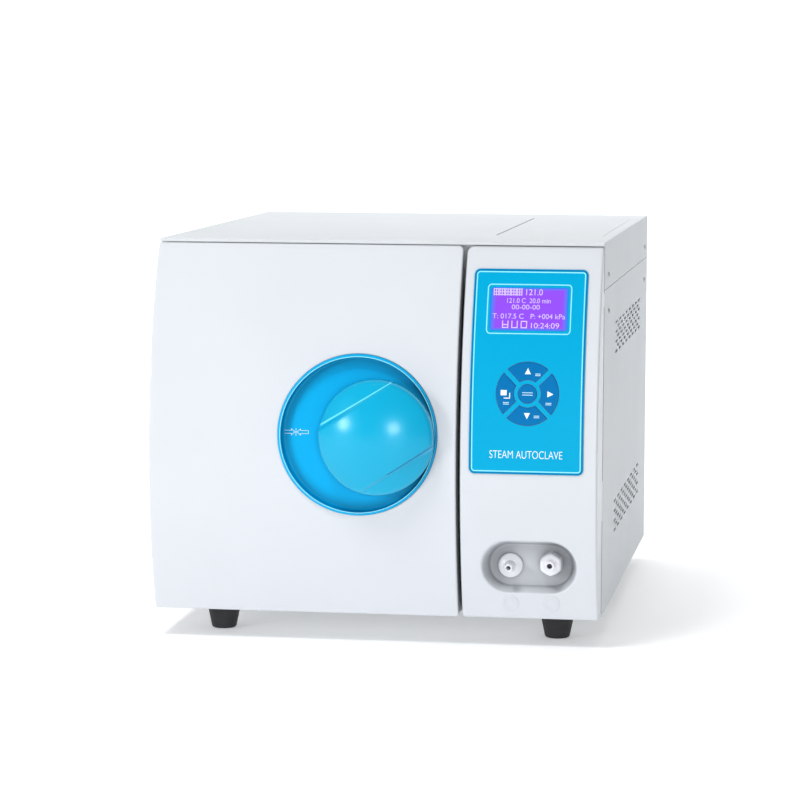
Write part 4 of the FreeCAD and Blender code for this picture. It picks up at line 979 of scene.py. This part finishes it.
def make_display(lcd):
    outline = rounded_outline(lcd.x, lcd.z, 2 * LCD_HALF_WIDE, 2 * LCD_HALF_HIGH, 2.3 * MM)
    material = glow("display_glow", (0.20, 0.05, 0.80), (0.01, 0.16, 0.85), lcd, LCD_HALF_WIDE,
                    LCD_HALF_HIGH)
    film_plate("display_screen", outline, FILM_THICK - 0.15 * MM, 0.5 * MM, material, "casing",
               "lcd_glass", "lcd_window")
    violet = (0.50, 0.40, 0.93)
    ink = glow("display_ink", violet, violet, lcd, LCD_HALF_WIDE, LCD_HALF_HIGH)
    front = FILM_THICK - 0.1 * MM
    rows = ((4.5, 16.0, 16, 5.6, "121.0"), (-0.5, 8.0, 42, 4.4, "121.0 C  20.0 min"),
            (-3.3, 2.0, 27, 4.4, "00-00-00"), (0, -6.6, 70, 4.6, "T: 017.5 C   P: +004 kPa"),
            (16.0, -15.2, 27, 5.0, "10:24:09"))
    for index, (dx, dz, wide, high, words) in enumerate(rows):
        print_words("display_row_%d" % (index + 1), words, lcd.x + dx * MM, lcd.z + dz * MM, wide * MM,
                    high * MM, front, ink, "lcd_glass")
    make_display_blocks(lcd, front, ink)
    make_level_marks(lcd, front, ink)


def make_display_blocks(lcd, front, ink):
    """Five latticed blocks at the display's top left, in place of a word."""
    pitch, wide, high = 5.6 * MM, 4.4 * MM, 6 * MM
    base = lcd.z + 13.0 * MM
    build = bmesh.new()
    for index in range(5):
        left = lcd.x - 34.5 * MM + pitch * index
        for share in (0, 0.5, 1):
            upright = left + share * wide
            level = base + 0.4 * MM + 1.2 * share * wide
            add_stroke(build, (upright, base), (upright, base + high), 0.9 * MM, front, PRINT_TALL)
            add_stroke(build, (left, level), (left + wide, level), 0.7 * MM, front, PRINT_TALL)
    add_piece("display_blocks", build, ink, "casing", "lcd_glass", smooth=False)


def make_level_marks(lcd, front, ink):
    """Three small tanks at the display's foot: part full, empty and full."""
    pitch, wide = 9 * MM, 5.2 * MM
    base, top = lcd.z - 17.4 * MM, lcd.z - 11.4 * MM
    for index, fill in enumerate((0.45, 0.0, 1.0)):
        left = lcd.x - 25 * MM + pitch * index
        right = left + wide
        corners = [(left, top), (left, base), (right, base), (right, top)]
        marks = list(zip(corners, corners[1:]))
        if fill:
            level = base + fill * (top - base)
            marks.append(((left, level), (right, level)))
        print_strokes("level_mark_%d" % (index + 1), marks, 0.95 * MM, front, PRINT_TALL, ink, "casing",
                      "lcd_glass")


def make_keys(pad):
    proud, deep = 1.3 * MM, 4.2 * MM
    gap = 0.35 * MM
    for name, turn in (("right", 0), ("up", 90), ("left", 180), ("down", 270)):
        outline = quarter_outline(pad.x, pad.z, KEY_INNER + gap, KEY_OUTER - gap, KEY_WEB + 2 * gap,
                                  turn)
        film_plate("%s_button" % name, outline, proud, deep, KEY_BLUE, name + "_key", "key_blue",
                   "key_" + name, edge=0.7 * MM)
    film_plate("enter_button", disc_outline(pad.x, pad.z, 9 * MM, 64), proud, deep, KEY_BLUE, "enter_key",
               "key_blue", "key_enter", edge=0.7 * MM)
    front = proud + 0.02 * MM
    reach = 21.5 * MM
    arrows = (("up", (0, reach), (0, 1)), ("down", (0, -reach + 0.5 * MM), (0, -1)),
              ("right", (reach + 0.6 * MM, 0), (1, 0)))
    for name, (dx, dz), (ax, az) in arrows:
        cx, cz = pad.x + dx, pad.z + dz
        size = 2.9 * MM
        base_x, base_z = cx - ax * size, cz - az * size
        corners = [(cx + ax * size, cz + az * size), (base_x - az * size, base_z + ax * size),
                   (base_x + az * size, base_z - ax * size)]
        print_shape("%s_arrow" % name, corners, front, name + "_key")
    make_menu_mark(pad.x, pad.z, front)
    bars = (("up", 9.6, 18.2, 4.4), ("down", 9.2, -21.6, 4.6), ("right", 20.4, -9.2, 4.8),
            ("left", -20.4, -9.2, 5.0), ("enter", 0, 0, 9.4))
    for name, dx, dz, wide in bars:
        left, right = pad.x + (dx - wide / 2) * MM, pad.x + (dx + wide / 2) * MM
        apart = 1.1 if name == "enter" else 0.75
        levels = [pad.z + (dz + apart) * MM, pad.z + (dz - apart) * MM]
        marks = [((left, level), (right, level)) for level in levels]
        print_strokes("%s_bars" % name, marks, 0.7 * MM, front, KEY_PRINT_TALL, PRINT_PALE,
                      name + "_key", "key_blue")


def make_menu_mark(x, z, front):
    """Two overlapping sheets on the left key: a filled one, and two sides of the one below it."""
    cx, cz = x - 22.8 * MM, z + 0.8 * MM
    wide, high = 2.9 * MM, 2.5 * MM
    corners = [(cx - wide, cz - high), (cx + wide, cz - high), (cx + wide, cz + high),
               (cx - wide, cz + high)]
    print_shape("left_mark_over", corners, front, "left_key")
    cx, cz = x - 19.6 * MM, z - 0.9 * MM
    wide, high = 2.6 * MM, 2.2 * MM
    corners = [(cx - wide, cz - high - 1.2 * MM), (cx + wide, cz - high - 1.2 * MM),
               (cx + wide, cz + high - 1 * MM)]
    print_strokes("left_mark_under", zip(corners, corners[1:]), 0.9 * MM, front, KEY_PRINT_TALL,
                  PRINT_WHITE, "left_key", "key_blue")


# ---- fittings, feet and screws

def make_bore_shade(name, spot, floor, bore, along):
    """A dark plug inside a nozzle's bore, which paints the bore's shade."""
    wide, short = bore + 0.05 * MM, 2 * MM
    plug = lathe([(0, along), (wide, along), (wide, along - short), (0, along - short)],
                 (spot.x, floor, spot.z))
    add_piece(name, plug, DARK_PLASTIC_AND_SHADE, "casing", "white_plastic", sharp=40)


def make_fittings():
    floor = FRONT - NOZZLE_DEEP
    spot = middle("drain_nozzle")
    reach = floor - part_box("drain_nozzle")[0].y
    bore = 2.2 * MM
    profile = [(bore, 2 * MM), (bore, reach - 0.6 * MM), (bore + 0.5 * MM, reach)]
    profile += [(3.5 * MM, reach), (4 * MM, reach - 0.8 * MM), (4 * MM, reach - 5 * MM),
                (4.0 * MM, 9 * MM), (5.2 * MM, 7.2 * MM), (5.6 * MM, 5 * MM), (7.6 * MM, 4.4 * MM)]
    profile += [(10.6 * MM, 3 * MM), (11.6 * MM, 2.6 * MM), (12 * MM, 1.8 * MM), (12 * MM, -0.4 * MM)]
    add_piece("drain_fitting", lathe(profile, (spot.x, floor, spot.z)), WHITE_PLASTIC, "casing",
              "white_plastic", "drain_nozzle", sharp=50)
    make_bore_shade("drain_bore", spot, floor, bore, 5 * MM)

    spot = middle("fill_nozzle")
    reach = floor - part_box("fill_nozzle")[0].y
    bore = 2.6 * MM
    profile = [(bore, 2 * MM), (bore, reach - 0.6 * MM), (bore + 0.5 * MM, reach), (4.4 * MM, reach),
               (5 * MM, reach - 0.8 * MM), (5 * MM, reach - 8 * MM), (6.4 * MM, reach - 8.6 * MM),
               (8 * MM, reach - 9 * MM)]
    nozzle = lathe(profile, (spot.x, floor, spot.z))
    nut = make_nut(spot, floor, reach - 8.4 * MM)
    add_piece("fill_fitting", join_meshes(nozzle, nut), WHITE_PLASTIC, "casing", "white_plastic",
              "fill_nozzle", sharp=50)
    make_bore_shade("fill_bore", spot, floor, bore, reach - 4 * MM)


def make_nut(spot, floor, thick):
    """A hexagon whose corners are well rounded: part flat-sided and part round."""
    build = bmesh.new()
    across, points, flat_share = 11.4 * MM, 72, 0.55
    rings = []
    for grow, along in ((-3.2 * MM, thick), (-1.6 * MM, thick - 0.1 * MM),
                        (-0.5 * MM, thick - 1.0 * MM), (0, thick - 2.4 * MM), (0, 2 * MM),
                        (0.4 * MM, -0.4 * MM)):
        ring = []
        for index in range(points):
            turn = 2 * math.pi * index / points
            corner = (turn + math.pi / 6) % (math.pi / 3) - math.pi / 6
            flat = across * math.cos(math.pi / 6) / math.cos(corner)
            radius = flat_share * flat + (1 - flat_share) * across * 0.96 + grow
            ring.append(build.verts.new((spot.x + radius * math.cos(turn), floor - along,
                                         spot.z + radius * math.sin(turn))))
        rings.append(ring)
    build.faces.new(rings[0])
    join_loops(build, rings)
    return build


def make_feet():
    for node in ("foot_front_left", "foot_front_right", "foot_rear_left", "foot_rear_right"):
        low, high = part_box(node)
        spot = middle(node)
        top, tip, curve = node_radius(node), 12.6 * MM, 3 * MM
        tall = high.z - low.z
        profile = [(0, 1.5 * MM), (4 * MM, 1.5 * MM), (4.6 * MM, 0.2 * MM), (5.2 * MM, 0)]
        profile += arc_rows(tip - curve, curve, curve, -90, 0, 6)
        profile += [(top - 0.6 * MM, tall - 5 * MM), (top - 0.1 * MM, tall - 4 * MM),
                    (top, tall - 3.4 * MM), (top, tall - 0.6 * MM), (top - 0.4 * MM, tall), (0, tall)]
        build = lathe(profile, (spot.x, spot.y, low.z), "up")
        add_piece(node.replace("foot", "rubber_foot"), build, RUBBER, "casing", "foot_rubber", node,
                  sharp=50)


def make_screws():
    low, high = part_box("case_screws")
    rows = []
    for dy, z in ((3.6 * MM, high.z - 3.6 * MM), (8.6 * MM, low.z + 3.6 * MM)):
        rows.append((low.y + dy, z))
        rows.append((high.y - dy, z))
    profile = [(0, 0.75 * MM), (0.6 * MM, 0.8 * MM), (1.5 * MM, 1.45 * MM), (2.4 * MM, 1.3 * MM),
               (3.3 * MM, 0.7 * MM), (3.6 * MM, 0.1 * MM), (3.6 * MM, -0.3 * MM), (0, -0.3 * MM)]
    pieces = []
    for side in (-1, 1):
        for y, z in rows:
            pieces.append(lathe(profile, (side * SIDE, y, z), "right" if side > 0 else "left", 32))
    add_piece("corner_screws", join_meshes(pieces[0], *pieces[1:]), ZINC, "casing", "chrome",
              "case_screws", sharp=50)


def main():
    make_camera()
    make_studio()
    paint_cad_nodes()
    make_door()
    make_dish()
    make_knob()
    make_column()
    make_control_film()
    make_fittings()
    make_feet()
    make_screws()
    make_lid_slit_shade()


main()
